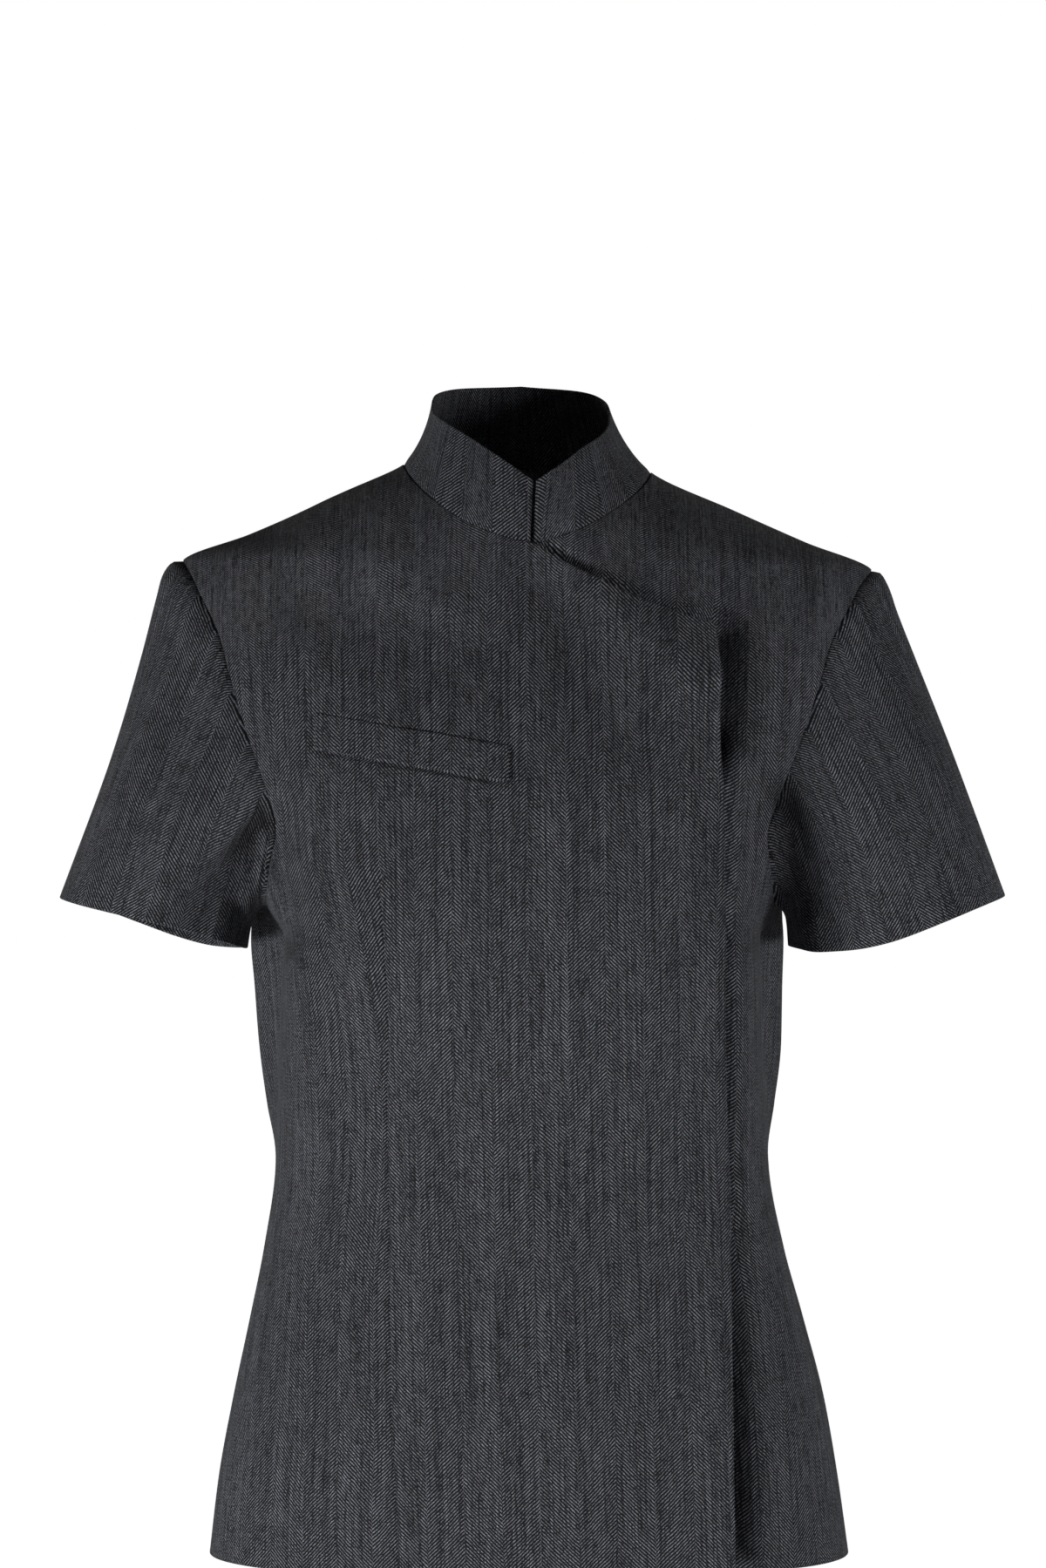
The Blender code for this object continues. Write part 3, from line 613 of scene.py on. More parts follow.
def front_inner(side, row):
    """(turn, height) of a front's free edge and neckline at each row."""
    level = low_height(row)
    if side < 0:
        corner_x, corner_height, low_x = WRAP_CORNER_X, WRAP_CORNER_HEIGHT, wrap_edge(level)
        start_x, sag = wrap_edge(UNDERARM), WRAP_SAG
    else:
        corner_x, corner_height, low_x = UNDERLAP_X, UNDERLAP_TOP, underlap_edge(level)
        start_x, sag = UNDERLAP_X, 0.0

    def straight(row):
        up, slant = part(UNDERARM_ROW, CORNER_ROW, row), part(CORNER_ROW, NECK_ROW, row)
        x = mix(start_x, corner_x, up) + (CENTRE_FRONT - corner_x) * slant
        height = mix(UNDERARM, corner_height, up) + (-NECK_DROP - corner_height) * slant
        return x, height - sag * np.sin(np.pi * slant)

    # The corner is a short curve between a point below it and a point past it.
    ends = CORNER_ROW - CORNER_ROUND, CORNER_ROW + CORNER_ROUND
    t = part(*ends, row)
    past = part(NECK_ROW, SHOULDER_ROW, row)
    neck_x, neck_height = neckline(side * 90 * (1 - (1 - past) ** TOP_BEND), False)
    neck_x = neck_x + CENTRE_FRONT * np.clip(NECK_ROW + 1 - row, 0, 1)
    edge = []
    for line, first, corner, last, low, neck in zip(
        straight(row), straight(ends[0]), (corner_x, corner_height), straight(ends[1]),
        (low_x, level), (neck_x, neck_height),
    ):
        curve = (1 - t) ** 2 * first + 2 * t * (1 - t) * corner + t**2 * last
        line = np.where((t > 0) & (t < 1), curve, line)
        edge.append(np.where(row <= UNDERARM_ROW, low, np.where(row <= NECK_ROW, line, neck)))
    turn = turn_at(*edge)
    return np.where(row >= SHOULDER_ROW, side * 90.0, turn), edge[1]


def front_outer(side, row):
    """(turn, height) of a front's side seam and armhole at each row."""
    turn, height = armhole(side, False, 180 * part(UNDERARM_ROW, SHOULDER_ROW, row))
    low = row <= UNDERARM_ROW
    return np.where(low, side * SIDE_SEAM_TURN, turn), np.where(low, low_height(row), height)


def front_place(side, relief, row, share):
    """(points, normals, turn, height) of a front's outer face at rows and shares, raised by
    relief(x, height, share)."""
    inner, outer = front_inner(side, row), front_outer(side, row)
    turn, height = (mix(start, end, share) for start, end in zip(inner, outer))
    points, normals = skin(turn, height)
    lift = relief(points[..., 0], height, share)
    return points + normals * lift[..., None], normals, turn, height


def filled(near, far, count):
    """The close shares at both edges, and count even ones between them."""
    even = np.linspace(0, 1, count + 2)[1:-1].reshape(-1, *[1] * (near.ndim - 1))
    return np.concatenate([near, mix(near[-1:], far[:1], even), far])


def spread(points, keys, spacing, last=EDGE_STEPS):
    """Keys at even distances along a line of points, and close together at its ends."""
    length = run_along(points)
    end = length[-1] - last[::-1]
    count = int(np.ceil((end[0] - EDGE_STEPS[-1]) / spacing)) - 1
    return np.interp(filled(EDGE_STEPS, end, count), length, keys)


def panel_rows(place, extra=()):
    """Row numbers of a panel, spread along its middle, with the extra ones put in."""
    fine = np.linspace(0, SHOULDER_ROW, FINE_ROWS)
    rows = spread(place(fine[:, None], np.full((1, 1), 0.5))[0][:, 0], fine, PANEL_SPACING)
    clear = (np.abs(rows[:, None] - np.array(extra)) > ROWS_CLEAR).all(axis=1)
    return np.sort(np.concatenate([rows[clear], extra]))


def between(place, rows, start, end, count):
    """Shares across each row from start to end: close together at both, even in between.

    The distance from the edge to each close one is the same along the whole edge, so a share
    is that distance over how fast the row leaves the edge at right angles to it.
    """
    shares = []
    for at, step in ((start, NUDGE_SHARE), (end, -NUDGE_SHARE)):
        at = np.broadcast_to(at, rows.shape)[:, None]
        here, there = (place(rows[:, None], at + move)[0][:, 0] for move in (0, step))
        along = unit(np.gradient(here, axis=0) + 1e-12)
        leave = (there - here) / abs(step)
        leave = leave - np.sum(leave * along, -1, keepdims=True) * along
        speed = np.linalg.norm(leave, axis=-1, keepdims=True)
        shares.append((at + np.sign(step) * EDGE_STEPS / np.maximum(speed, LEAST_LEAVE)).T)
    return filled(shares[0], shares[1][::-1], count).T


def rim(count):
    """Share of the cloth's half thickness at each grid line: round at both edges."""
    profile = np.sqrt(1 - (1 - np.clip(EDGE_STEPS / (CLOTH / 2), 0, 1)) ** 2)
    return np.concatenate([profile, np.ones(count - 2 * len(profile)), profile[::-1]])


def wall(grid, thickness=CLOTH):
    """Half the wall's thickness over a grid, round at all four edges."""
    return thickness / 2 * rim(grid.shape[0])[:, None] * rim(grid.shape[1])


def sink(count, start, end):
    """How far the cloth is drawn in at each grid line: most at a seam, over a few lines."""
    profile = bell(EDGE_STEPS, SEAM_WIDTH)
    drawn = np.zeros(count)
    drawn[: len(profile)] = profile * start
    drawn[-len(profile):] = profile[::-1] * end
    return drawn


def cloth_piece(name, middle, normals, half, uv, ring=False, flip=False, dart=0, intake=None):
    """A closed shell: the middle surface moved out and in along its normals by half the
    cloth's thickness, the two sides meeting wherever half is 0. Columns that run to the
    wearer's right are flipped to face out. Past the dart's column the cloth is taken in."""
    if flip:
        middle, normals, half, uv = (grid[:, ::-1] for grid in (middle, normals, half, uv))
    rows, columns = half.shape
    points = np.concatenate([
        (middle + half[..., None] * normals).reshape(-1, 3),
        (middle - half[..., None] * normals).reshape(-1, 3),
    ])
    outer = np.arange(rows * columns).reshape(rows, columns)
    inner = np.where(half > 0, outer + rows * columns, outer)
    kept, place = np.unique([outer, inner], return_inverse=True)
    points = points[kept]
    outer, inner = place.reshape(2, rows, columns)
    grids = [outer, inner, *np.moveaxis(uv, -1, 0)]
    if ring:
        grids = [np.concatenate([g, g[:, :1]], axis=1) for g in grids]
        grids[2][:, -1] = grids[2][:, -2] + (grids[2][:, -2] - grids[2][:, -3])

    def corners(grid):
        return stack(grid[:-1, :-1], grid[:-1, 1:], grid[1:, 1:], grid[1:, :-1])

    faces = [corners(grid).reshape(-1, 4) for grid in grids[:2]]
    faces = np.concatenate([faces[0], faces[1][:, ::-1]])
    flat = stack(corners(grids[2]), corners(grids[3]))
    if dart:
        past = columns - 1 - dart
        flat[:, :past, :, 0] -= corners(intake[:, ::-1])[:, :past]
    flat = flat.reshape(-1, 4, 2)
    flat = np.concatenate([flat, flat[:, ::-1]])
    mesh = bpy.data.meshes.new(name)
    mesh.vertices.add(len(points))
    mesh.vertices.foreach_set("co", points.astype(np.float32).ravel())
    mesh.loops.add(faces.size)
    mesh.loops.foreach_set("vertex_index", faces.astype(np.int32).ravel())
    mesh.polygons.add(len(faces))
    mesh.polygons.foreach_set("loop_start", np.arange(0, faces.size, 4, dtype=np.int32))
    mesh.uv_layers.new(name="cloth").data.foreach_set("uv", flat.astype(np.float32).ravel())
    mesh.update(calc_edges=True)
    mesh.validate()
    mesh.shade_smooth()
    mesh.materials.append(cloth_material)
    piece = add_object(name, mesh)
    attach(piece, "root")
    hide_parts(name.removesuffix("_cloth"))
    return piece


def panel(name, surface, uv_at, first_seam=0.0, groove=0.0, **more):
    """A panel's wall below its outer face, drawn in along its seams: the top one, the last
    column's and the first one's if it has any. uv_at gives its cloth coordinates."""
    points, normals, turn, height = surface
    rows, columns = height.shape
    drawn = sink(columns, first_seam, ARM_SEAM_DEPTH)
    drawn = np.maximum(sink(rows, 0, NECK_SEAM_DEPTH)[:, None], drawn)
    points = points - normals * (drawn + groove)[..., None]
    uv = uv_at(points, turn, height)
    return cloth_piece(name, points - CLOTH / 2 * normals, normals, wall(height), uv, **more)


def panel_uv(points, turn, height, behind=False):
    """Cloth coordinates of a panel: across, the distance round a level section from the
    middle, at most at the chest's height. Up, the height above the hem, and over a shoulder
    how far the cloth leans to its ridge."""
    level = np.minimum(height, CHEST)
    at_chest = turn_at(across(turn, height), level, behind)
    turn = np.where(height > CHEST, at_chest % 360 if behind else at_chest, turn)
    leaning = np.maximum(LEAN_FROM - np.abs(points[..., 1]), 0) * smooth(*LEAN_HEIGHTS, height)
    u = girth(turn, level, 180.0 if behind else 0.0)
    return stack(u, height - HEM + leaning)


# The grain's drift across the front, the dart's line, and how much cloth the dart takes in.
GRAIN = table("height shift", (-615, 6.7), (-324, 0), (-84, -2.4))
GRAIN_START = 0.00135
DART = table(
    "height x intake groove",
    (-620, -71.2, 10.4, 1),
    (-593, -72.2, 10.4, 1),
    (-536, -75.5, 12.8, 1),
    (-472, -76.8, 13.2, 1),
    (-400, -77.6, 19, 1),
    (-360, -78.2, 21.2, 1),
    (-319, -77.2, 19.2, 1),
    (-277, -79, 12.8, 0.9),
    (-244, -81.2, 5.6, 0.6),
    (-223, -83, 0.8, 0),
    (-200, -84, 0, 0),
    (20, -84, 0, 0),
    plain="groove",
)
DART_DEPTH, DART_WIDTH, DART_TOP_ROW = 0.0009, 0.0011, 19.4
DART_GUESS, DART_TRIES = 0.6, 5  # the first guess of the dart's share, and the steps from it
RIGHT_COLUMNS, RIGHT_SIDE_COLUMNS = 84, 48

# The pocket's welt is sewn to the front along its lower edge and at both ends.
WELT_RIGHT_X, WELT_LEFT_X = -0.1180, -0.0100
WELT_RIGHT_TOP, WELT_LEFT_TOP, WELT_HEIGHT = -0.1420, -0.1600, 0.0200
WELT_SEAM = table(
    FOLD_COLUMNS,
    (-118, -162.4, -10, -180.4, 1, -2),
    (-118.6, -144, -118.6, -162, 1.4, -0.8),
    (-9.2, -160.6, -9.2, -180, 1.4, -1.2),
    # Its free edge lies flush with the front over the half that is nearer the arm.
    (-117, -140.2, -72, -147.7, 1.7, 0.9),
)
WELT_ROWS_FROM, WELT_ROWS_TO, WELT_ROW_STEP = 22.3, 25.9, 0.04


def wrap_relief(x, height, share):
    return wrap_lift(x, height) + fold_depth(WELT_SEAM, x, height)


right_front_place = partial(front_place, -1, wrap_relief)


def front_uv(points, turn, height, shift=0.0):
    """Cloth coordinates of a front, less the drift of the grain."""
    uv = panel_uv(points, turn, height)
    uv[..., 0] -= read(GRAIN, "shift", height) + GRAIN_START + shift
    return uv


def dart_shares(rows):
    """The share of each row at which the dart's line runs, held above the line's end."""
    low = rows[rows <= DART_TOP_ROW]
    inner, outer = front_inner(-1, low), front_outer(-1, low)
    share = np.full(low.shape, DART_GUESS)
    for _ in range(DART_TRIES):
        height = mix(inner[1], outer[1], share)
        share = (turn_at(read(DART, "x", height), height) - inner[0]) / (outer[0] - inner[0])
    return np.interp(rows, low, share)


def make_front_right():
    corner = CORNER_ROW + CORNER_ROUND * np.array([-1, -0.5, 0, 0.5, 1])
    by_welt = np.arange(WELT_ROWS_FROM, WELT_ROWS_TO, WELT_ROW_STEP)
    by_welt = by_welt[np.abs(by_welt[:, None] - corner).min(axis=1) > WELT_ROW_STEP / 2]
    rows = panel_rows(right_front_place, [*by_welt, *corner, NECK_ROW])
    dart = dart_shares(rows)
    first = between(right_front_place, rows, 0.0, dart, RIGHT_COLUMNS)
    second = between(right_front_place, rows, dart, 1.0, RIGHT_SIDE_COLUMNS)
    share = np.concatenate([first, second[:, 1:]], axis=1)
    dart_column = first.shape[1] - 1
    surface = right_front_place(rows[:, None], share)
    away = np.abs(np.arange(share.shape[1]) - dart_column)
    away = EDGE_STEPS[np.minimum(away, len(EDGE_STEPS) - 1)]
    groove = DART_DEPTH * bell(away, DART_WIDTH) * (away < EDGE_STEPS[-1])
    depth, intake = (read(DART, column, surface[3]) for column in ("groove", "intake"))
    piece = panel(
        "front_right_cloth", surface, front_uv, groove=groove * depth,
        flip=True, dart=dart_column, intake=intake,
    )


make_front_right()


# ------------------------------------------------------------
# The pocket's welt: a narrow folded strip, sewn on at a slant over the pocket's mouth, with
# its herringbone matched to the front's.

WELT_THICKNESS = 0.0010
WELT_COLUMNS, WELT_ROWS = 58, 8


def make_pocket_welt():
    length = WELT_LEFT_X - WELT_RIGHT_X
    near, low = EDGE_STEPS / length, EDGE_STEPS / WELT_HEIGHT
    share, up = filled(near, 1 - near[::-1], WELT_COLUMNS), filled(low, 1 - low[::-1], WELT_ROWS)
    share, up = np.broadcast_arrays(share[None, :], up[:, None])
    x = WELT_RIGHT_X + length * share
    height = mix(WELT_RIGHT_TOP, WELT_LEFT_TOP, share) - WELT_HEIGHT * (1 - up)
    turn = turn_at(x, height)
    base, normals = skin(turn, height)
    base = base + normals * (SEAM + wrap_lift(x, height))[..., None]
    uv = front_uv(base, turn, height)
    uv[..., 1] = uv[:1, :, 1] + (height - height[:1])
    middle = base + WELT_THICKNESS / 2 * normals
    piece = cloth_piece("pocket_welt_cloth", middle, normals, wall(x, WELT_THICKNESS), uv)


make_pocket_welt()


# ------------------------------------------------------------
# The wearer's left front: the underlap. It shows above the wrap's slanting edge and beside
# its upright one, and ends out of sight behind the wrap.

LEFT_COLUMNS = 150
LEFT_GRAIN_SHIFT = 0.0016  # its herringbone sits this far off the other front's
SEAM_STAYS = 0.05  # the share of a row beside the armhole in which its own folds fade out


def underlap_relief(x, height, share):
    return fold_depth(UNDERLAP_FOLDS, x, height) * smooth(0.0, SEAM_STAYS, 1 - share)


left_front_place = partial(front_place, 1, underlap_relief)


def make_front_left():
    rows = panel_rows(left_front_place, [CORNER_ROW, NECK_ROW])
    share = between(left_front_place, rows, 0.0, 1.0, LEFT_COLUMNS)
    uv_at = partial(front_uv, shift=LEFT_GRAIN_SHIFT)
    piece = panel("front_left_cloth", left_front_place(rows[:, None], share), uv_at)


make_front_left()


# ------------------------------------------------------------
# The back: one plain piece from side seam to side seam, up to the armholes, the shoulder
# seams and the neckline. It is out of sight in front view.

BACK_COLUMNS = 176
SHOULDER_SHARE = 9 / 30  # of a row's columns that end in each shoulder seam


def back_place(row, share):
    """(points, normals, turn, height) of the back: straight across from armhole to armhole,
    bending more and more towards the top edge in the rows above the underarm."""
    arm = part(UNDERARM_ROW, SHOULDER_ROW, row)
    left, arm_height = armhole(1, True, 180 * arm)
    low = row <= UNDERARM_ROW
    left = np.where(low, SIDE_SEAM_TURN, left)
    right = 360 - left
    end = np.minimum(share, 1 - share)
    ridge = mix(SHOULDER_POINT, NECK_POINT, part(0, SHOULDER_SHARE, end))
    on_neck = end > SHOULDER_SHARE
    angle = 180 * part(SHOULDER_SHARE, 1 - SHOULDER_SHARE, share) - 90
    neck_x, neck_height = neckline(angle, True)
    neck_turn = turn_at(neck_x, neck_height, True) % 360
    top_turn = np.where(on_neck, neck_turn, np.where(share < 0.5, 270.0, 90.0))
    top_height = np.where(on_neck, neck_height, ridge)
    rise = arm**TOP_BEND
    turn = mix(right, left, share) + (top_turn - mix(270, 90, share)) * rise
    height = np.where(low, low_height(row), arm_height) + (top_height - SHOULDER_POINT) * rise
    return *skin(turn, height), turn, height


def make_back():
    rows = panel_rows(back_place)
    stops = (0.0, SHOULDER_SHARE, 1 - SHOULDER_SHARE, 1.0)
    counts = (BACK_COLUMNS // 4, BACK_COLUMNS // 2, BACK_COLUMNS // 4)
    first, neck, last = (
        between(back_place, rows, *ends, count) for *ends, count in zip(stops, stops[1:], counts)
    )
    keep = len(EDGE_STEPS)
    pieces = [first[:, :-keep], neck[:, :1], neck[:, keep:-keep], neck[:, -1:], last[:, keep:]]
    share = np.concatenate(pieces, axis=1)
    surface, uv_at = back_place(rows[:, None], share), partial(panel_uv, behind=True)
    piece = panel("back_cloth", surface, uv_at, ARM_SEAM_DEPTH, flip=True)


make_back()


# ------------------------------------------------------------
# The sleeves: short, set in at the armhole with a slightly roped head, each a tube with a
# seam under the arm. They stay where the wearer's arms held them.

SLEEVE_COLUMNS = (
    "along top_x top_z under_x under_z depth_front depth_back shift_y front_rise back_rise"
)
SLEEVE_RIGHT = table(
    SLEEVE_COLUMNS,
    (0, 198, -51.5, 149, -248, 66, 64, 0, 0, 0),
    (0.03, 204.5, -53, 151, -248.8, 66, 64, 0, 0, 0),
    (0.07, 209.5, -60, 152.5, -249.8, 66, 64, -1, 0, 0),
    (0.12, 212.5, -71, 154, -251.1, 65.5, 64, -1, 0, 0),
    (0.3, 221.5, -107, 156.5, -255.6, 64, 63, -3, 0.5, -2),
    (0.6, 237, -161, 158.5, -263, 60, 60, -6, 1, -4),
    (1, 267.5, -245, 160, -274, 54, 56, -10, 2.2, -6.2),
    plain="along",
)
SLEEVE_LEFT = table(
    SLEEVE_COLUMNS,
    (0, 198, -58.7, 141.5, -252.5, 66, 64, 0, 0, 0),
    (0.03, 203.5, -61.5, 143.5, -253, 66, 64, 0, 0, 0),
    (0.07, 208, -69.5, 145, -253.8, 66, 64, 0, 0, 0),
    (0.12, 211.5, -80, 146.2, -254.8, 66, 64, 0, 0, 0),
    (0.3, 222.5, -108, 148, -258.4, 65, 63, 0, -2, 1),
    (0.6, 241.5, -156, 149, -265, 62, 60, -1, -4.5, 2),
    (1, 274, -244, 149.5, -273, 57, 56, -2, -8.3, 3),
    plain="along",
)
UNDERSIDE_SHARE = 0.8  # how much stronger a rise is at the underside than halfway up
SEAM_FADE = 0.7  # the share of the sleeve over which the armhole's own shape fades out
SLEEVE_ROUND, SLEEVE_ROWS = 224, 76
SLEEVE_PROBE = 0.02  # a short part of the sleeve's length, which gives how fast a column runs
ROPE_HEIGHT, ROPE_AWAY, ROPE_WIDTH = 0.0008, 0.0042, 0.0026
ROPE_FROM, ROPE_FULL = 0.35, 0.75  # how far up the seam the roping comes in
HEAD_BLEND = 0.0022  # over which the sleeve's wall turns from the panel's slope to its own
SLEEVE_LEAN = {-1: 12.6, 1: 15.0}  # degrees that each sleeve's warp leans out
SLEEVE_LEVELS = 160  # sections across which the cloth is measured
STEEPEST = 0.9  # the most that a step down a column may go sideways

# Soft folds of a sleeve: where they start and end round it (degrees from the underarm, by the
# front) and down it, and how wide (in degrees) and deep they are.
SLEEVE_FOLDS = table(
    "from_angle from_along to_angle to_along width depth",
    (50, 0.05, 60, 0.8, 15, -4.5),
    (40, 0.55, 44, 1, 9, 2),
    (84, 0.3, 92, 1, 10, 1.1),
    (118, 0.2, 112, 0.8, 9, -0.9),
    (250, 0.25, 262, 0.95, 11, -1.5),
    (292, 0.2, 300, 0.9, 10, 1.3),
    plain="from_angle from_along to_angle to_along width",
)
LEFT_FOLDS_TURN = 6  # degrees by which the left sleeve's folds are moved
FOLD_STARTS, FOLD_ENDS = (-0.1, 0.15), 0.4  # how far a fold takes to come in and to fade


def sleeve_relief(angle, along, side):
    """Depth of the folds, each a bell curve round its line, a little moved on the left sleeve."""
    total = 0
    degrees = np.degrees(angle) + (LEFT_FOLDS_TURN if side > 0 else 0)
    for start, first, end, last, width, depth in zip(*SLEEVE_FOLDS.values()):
        off = degrees - mix(start, end, part(first, last, along))
        fade = smooth(first + FOLD_STARTS[0], first + FOLD_STARTS[1], along)
        fade = fade * (1 - smooth(last, last + FOLD_ENDS, along))
        total = total + depth * fade * bell(off, width)
    return total


def sleeve_seam(side, angle):
    """(points, normals) of the armhole seam: the front's part, then the back's."""
    turns = np.degrees(angle)
    front = armhole(side, False, np.minimum(turns, 180))
    back = armhole(side, True, np.clip(360 - turns, 0, 180))
    turn, height = (np.where(turns <= 180, f, b) for f, b in zip(front, back))
    return skin(np.where(turns == 180, side * 90.0, turn), height)


def sleeve_place(side, rows, angle, along):
    """Points of a sleeve's outer face: rings that turn from the armhole's plane to the hem's,
    plus the armhole's own shape, which fades out."""
    forward = np.sin(angle)

    def ring(along):
        def at(column):
            return read(rows, column, along)

        upward = (1 - np.cos(angle)) / 2
        x, z = (mix(at("under" + axis), at("top" + axis), upward) for axis in ("_x", "_z"))
        depth = np.where(forward > 0, at("depth_front"), at("depth_back"))
        rise = np.where(forward > 0, at("front_rise"), at("back_rise"))
        z = z + rise * forward**2 * (1 + UNDERSIDE_SHARE * np.cos(angle))
        return stack(side * x, at("shift_y") - depth * forward, z)

    seam, _ = sleeve_seam(side, angle[0])
    fade = 1 - smooth(0, SEAM_FADE, along)[..., None]
    return ring(along) + (seam - ring(np.zeros_like(along))) * fade


def ring_normals(grid, side):
    """Outward unit normals of rings of points, which run on from the last column to the first."""
    round_ = np.roll(grid, -1, axis=1) - np.roll(grid, 1, axis=1)
    return -side * unit(np.cross(round_, np.gradient(grid, axis=0)))


def sleeve_uv(grid, side):
    """Cloth coordinates of a sleeve: across, the distance from its top line round a section
    square to the warp, and up, the distance from the hem along the cloth."""
    lean = np.radians(SLEEVE_LEAN[side])
    down = np.array([side * np.sin(lean), 0, -np.cos(lean)])
    depth = grid @ down
    levels = np.linspace(depth.min(), depth.max(), SLEEVE_LEVELS)
    columns = range(grid.shape[1])
    sections = np.array([
        stack(*(np.interp(levels, depth[:, i], grid[:, i, axis]) for axis in range(3)))
        for i in columns
    ])
    sections = sections - (sections @ down)[..., None] * down
    round_ = run_along(sections)
    round_ = round_ - round_[SLEEVE_ROUND // 2]
    u = stack(*(np.interp(depth[:, i], levels, round_[i]) for i in columns))
    length = np.linalg.norm(np.diff(grid, axis=0), axis=-1)
    sideways = np.minimum(np.abs(np.diff(u, axis=0)), STEEPEST * length)
    climb = np.sqrt(length**2 - sideways**2)
    v = np.concatenate([np.cumsum(climb[::-1], axis=0)[::-1], np.zeros_like(climb[:1])])
    return stack(-u * side, v - grid[-1] @ down)


def sewn_on(middle, seam, panel_normals, along, hole, depth, run, blend):
    """The middle surface moved so that its first row meets the middle of the panel's wall at
    the seam, and reaches into it a little, away from the middle of the panel's hole."""
    inward = unit(np.cross(along, panel_normals))
    inward = inward * np.sign(np.sum(inward * (hole - seam), axis=-1, keepdims=True))
    target = seam - (CLOTH / 2 + depth) * panel_normals - TUCK * inward
    return middle + (target - middle[0]) * (1 - smooth(0, blend, run))


def make_sleeve(name, side, rows):
    angle = np.linspace(0, 2 * np.pi, SLEEVE_ROUND, endpoint=False)[None, :]
    close = []
    for stops in ((0, SLEEVE_PROBE), (1 - SLEEVE_PROBE, 1)):
        first, last = (sleeve_place(side, rows, angle, np.full_like(angle, a)) for a in stops)
        close.append(EDGE_STEPS[:, None] / (np.linalg.norm(last - first, axis=-1) / SLEEVE_PROBE))
    along = filled(close[0], 1 - close[1][::-1], SLEEVE_ROWS)
    angle = np.broadcast_to(angle, along.shape)
    grid = sleeve_place(side, rows, angle, along)
    normals = ring_normals(grid, side)
    run = run_along(grid)
    # The head is roped: a low roll runs round the upper part of the seam.
    upper = smooth(ROPE_FROM, ROPE_FULL, (1 - np.cos(angle)) / 2)
    rope = ROPE_HEIGHT * upper * bell(run - ROPE_AWAY, ROPE_WIDTH)
    grid = grid + normals * (rope + sleeve_relief(angle, along, side))[..., None]
    normals = ring_normals(grid, side)
    seam, panel_normals = sleeve_seam(side, angle[0])
    middle = sewn_on(
        grid - CLOTH / 2 * normals, seam, panel_normals,
        np.roll(seam, -1, axis=0) - np.roll(seam, 1, axis=0), seam.mean(axis=0),
        ARM_SEAM_DEPTH, run[..., None], HEAD_BLEND,
    )
    half = CLOTH / 2 * rim(len(along))[:, None] * np.ones(SLEEVE_ROUND)
    uv = sleeve_uv(grid, side)
    return cloth_piece(name, middle, normals, half, uv, ring=True, flip=side > 0)


sleeve_right = make_sleeve("sleeve_right_cloth", -1, SLEEVE_RIGHT)
sleeve_left = make_sleeve("sleeve_left_cloth", 1, SLEEVE_LEFT)


# ------------------------------------------------------------
# The collar: one stand strip of interfaced cloth, sewn round the neckline. Its two ends meet
# edge to edge at the centre front and open in a small V above it.

COLLAR_TOP = table(
    "turn right_z left_z crown",
    (0, -9, -9, 0.8),
    (20, 4.8, 0.5, 1),
    (40, 17, 11, 0.8),
    (60, 26.2, 18.2, -0.8),
    (80, 33, 26, -2.4),
    (105, 44.5, 40, -2.8),
    (140, 50, 48.5, -1.2),
    (180, 52, 52, -0.6),
    plain="turn",
)
COLLAR_TOP_RIGHT_X, COLLAR_TOP_LEFT_X = -0.0550, 0.0475
COLLAR_TOP_FRONT_X, COLLAR_TOP_BACK_X = 0.0040, -0.0036
COLLAR_TOP_FRONT_Y, COLLAR_TOP_BACK_Y = -0.0600, 0.0500
COLLAR_GAP, COLLAR_GAP_ENDS = 0.0014, 12  # between its two ends, and how many degrees it takes
CENTRE_FADES = 16  # degrees over which the neckline comes back from the centre front's shift
COLLAR_SPACING, COLLAR_ROWS, FINE_TURNS = 0.0018, 26, 1441
NECK_HOLE_MIDDLE = (0.0, 0.0, 0.02)
COLLAR_BLEND = 0.004


def collar_top(turns, side):
    """Points of the collar's top edge on one side."""
    s, c = sin_cos(turns)
    side_x = COLLAR_TOP_RIGHT_X if side < 0 else COLLAR_TOP_LEFT_X
    x = mix(np.where(c > 0, COLLAR_TOP_FRONT_X, COLLAR_TOP_BACK_X), side_x, s)
    y = np.where(c > 0, COLLAR_TOP_FRONT_Y, COLLAR_TOP_BACK_Y) * np.abs(c)
    z = read(COLLAR_TOP, "right_z" if side < 0 else "left_z", turns)
    return stack(x, y, z)


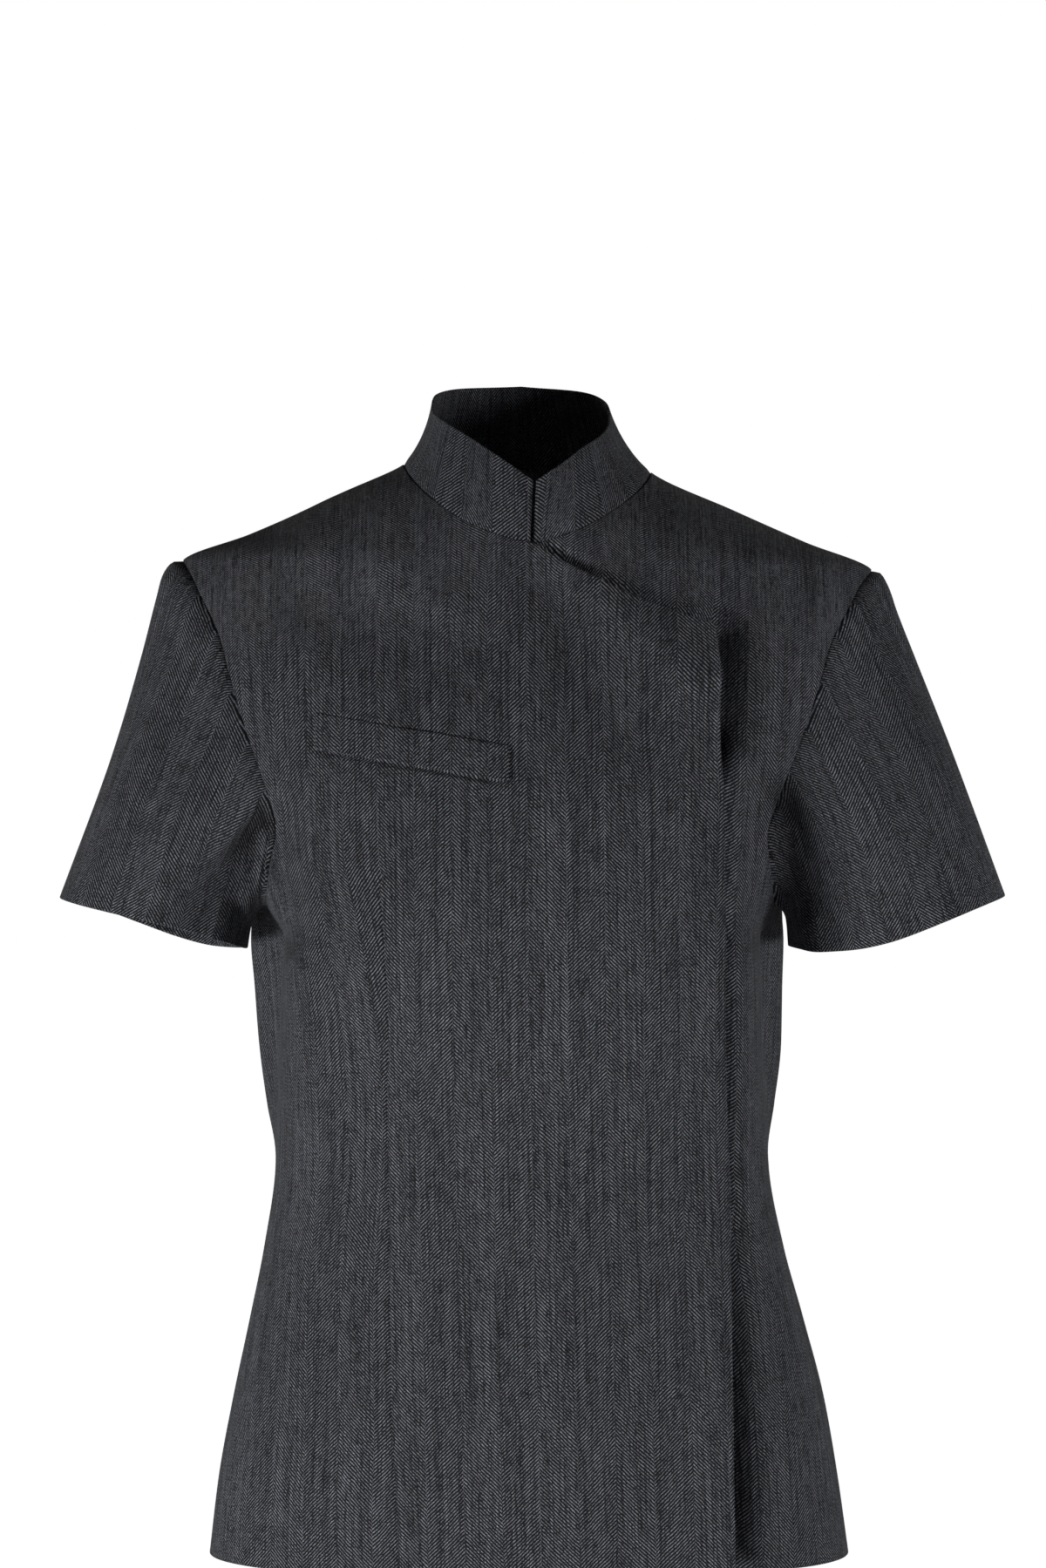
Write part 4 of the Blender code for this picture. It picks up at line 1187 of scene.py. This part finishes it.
def neck_seam(turns, side):
    """(points, normals) of the neckline seam on the body, centre front to centre back."""
    front_x, front_height = neckline(side * np.minimum(turns, 90), False)
    back_x, back_height = neckline(side * (180 - np.maximum(turns, 90)), True)
    front_x = front_x + CENTRE_FRONT * np.clip(1 - turns / CENTRE_FADES, 0, 1)
    at_front = turns <= 90
    turn = np.where(at_front, turn_at(front_x, front_height), turn_at(back_x, back_height, True))
    turn = np.where(turns >= 180, side * 180.0, np.where(turns == 90, side * 90.0, turn))
    height = np.where(at_front, front_height, back_height)
    points, normals = skin(turn, height)
    if side < 0:
        lift = np.where(turns < 90, wrap_lift(points[:, 0], height), 0)
        points = points + normals * lift[:, None]
    return points, normals


def collar_side(side):
    """Seam points, the panels' normals there, top points and crown, front to back."""
    fine = np.linspace(0, 180, FINE_TURNS)
    turns = spread(neck_seam(fine, side)[0], fine, COLLAR_SPACING, EDGE_STEPS[:1])
    points, normals = neck_seam(turns, side)
    top = collar_top(turns, side)
    end = 1 - smooth(0, COLLAR_GAP_ENDS, turns)
    points[:, 0] += side * COLLAR_GAP / 2 * end
    top[:, 0] += side * COLLAR_GAP / 2 * end
    return points, normals, top, read(COLLAR_TOP, "crown", turns)


def make_collar():
    left, right = collar_side(1), collar_side(-1)
    seam, panel_normals, top, crown = (
        np.concatenate([first, last[-2::-1]]) for first, last in zip(left, right)
    )
    height = np.linalg.norm(top - seam, axis=-1)
    near = EDGE_STEPS[:, None] / height
    share = filled(near, 1 - near[::-1], COLLAR_ROWS)[..., None]
    along = np.gradient(seam, axis=0)
    outward = unit(np.cross(along, top - seam))
    grid = mix(seam, top, share) + crown[:, None] * 4 * share * (1 - share) * outward
    normals = unit(np.cross(np.gradient(grid, axis=1), np.gradient(grid, axis=0)))
    run = share * height[None, :, None]
    middle = sewn_on(
        grid - CLOTH / 2 * normals, seam, panel_normals, along, NECK_HOLE_MIDDLE,
        NECK_SEAM_DEPTH, run, COLLAR_BLEND,
    )
    length = run_along(seam)
    length = length[np.argmin(np.abs(seam[:, 0]) + (seam[:, 1] > 0))] - length
    uv = stack(np.broadcast_to(length, run.shape[:2]), run[..., 0])
    piece = cloth_piece("collar_cloth", middle, normals, wall(grid), uv)


make_collar()
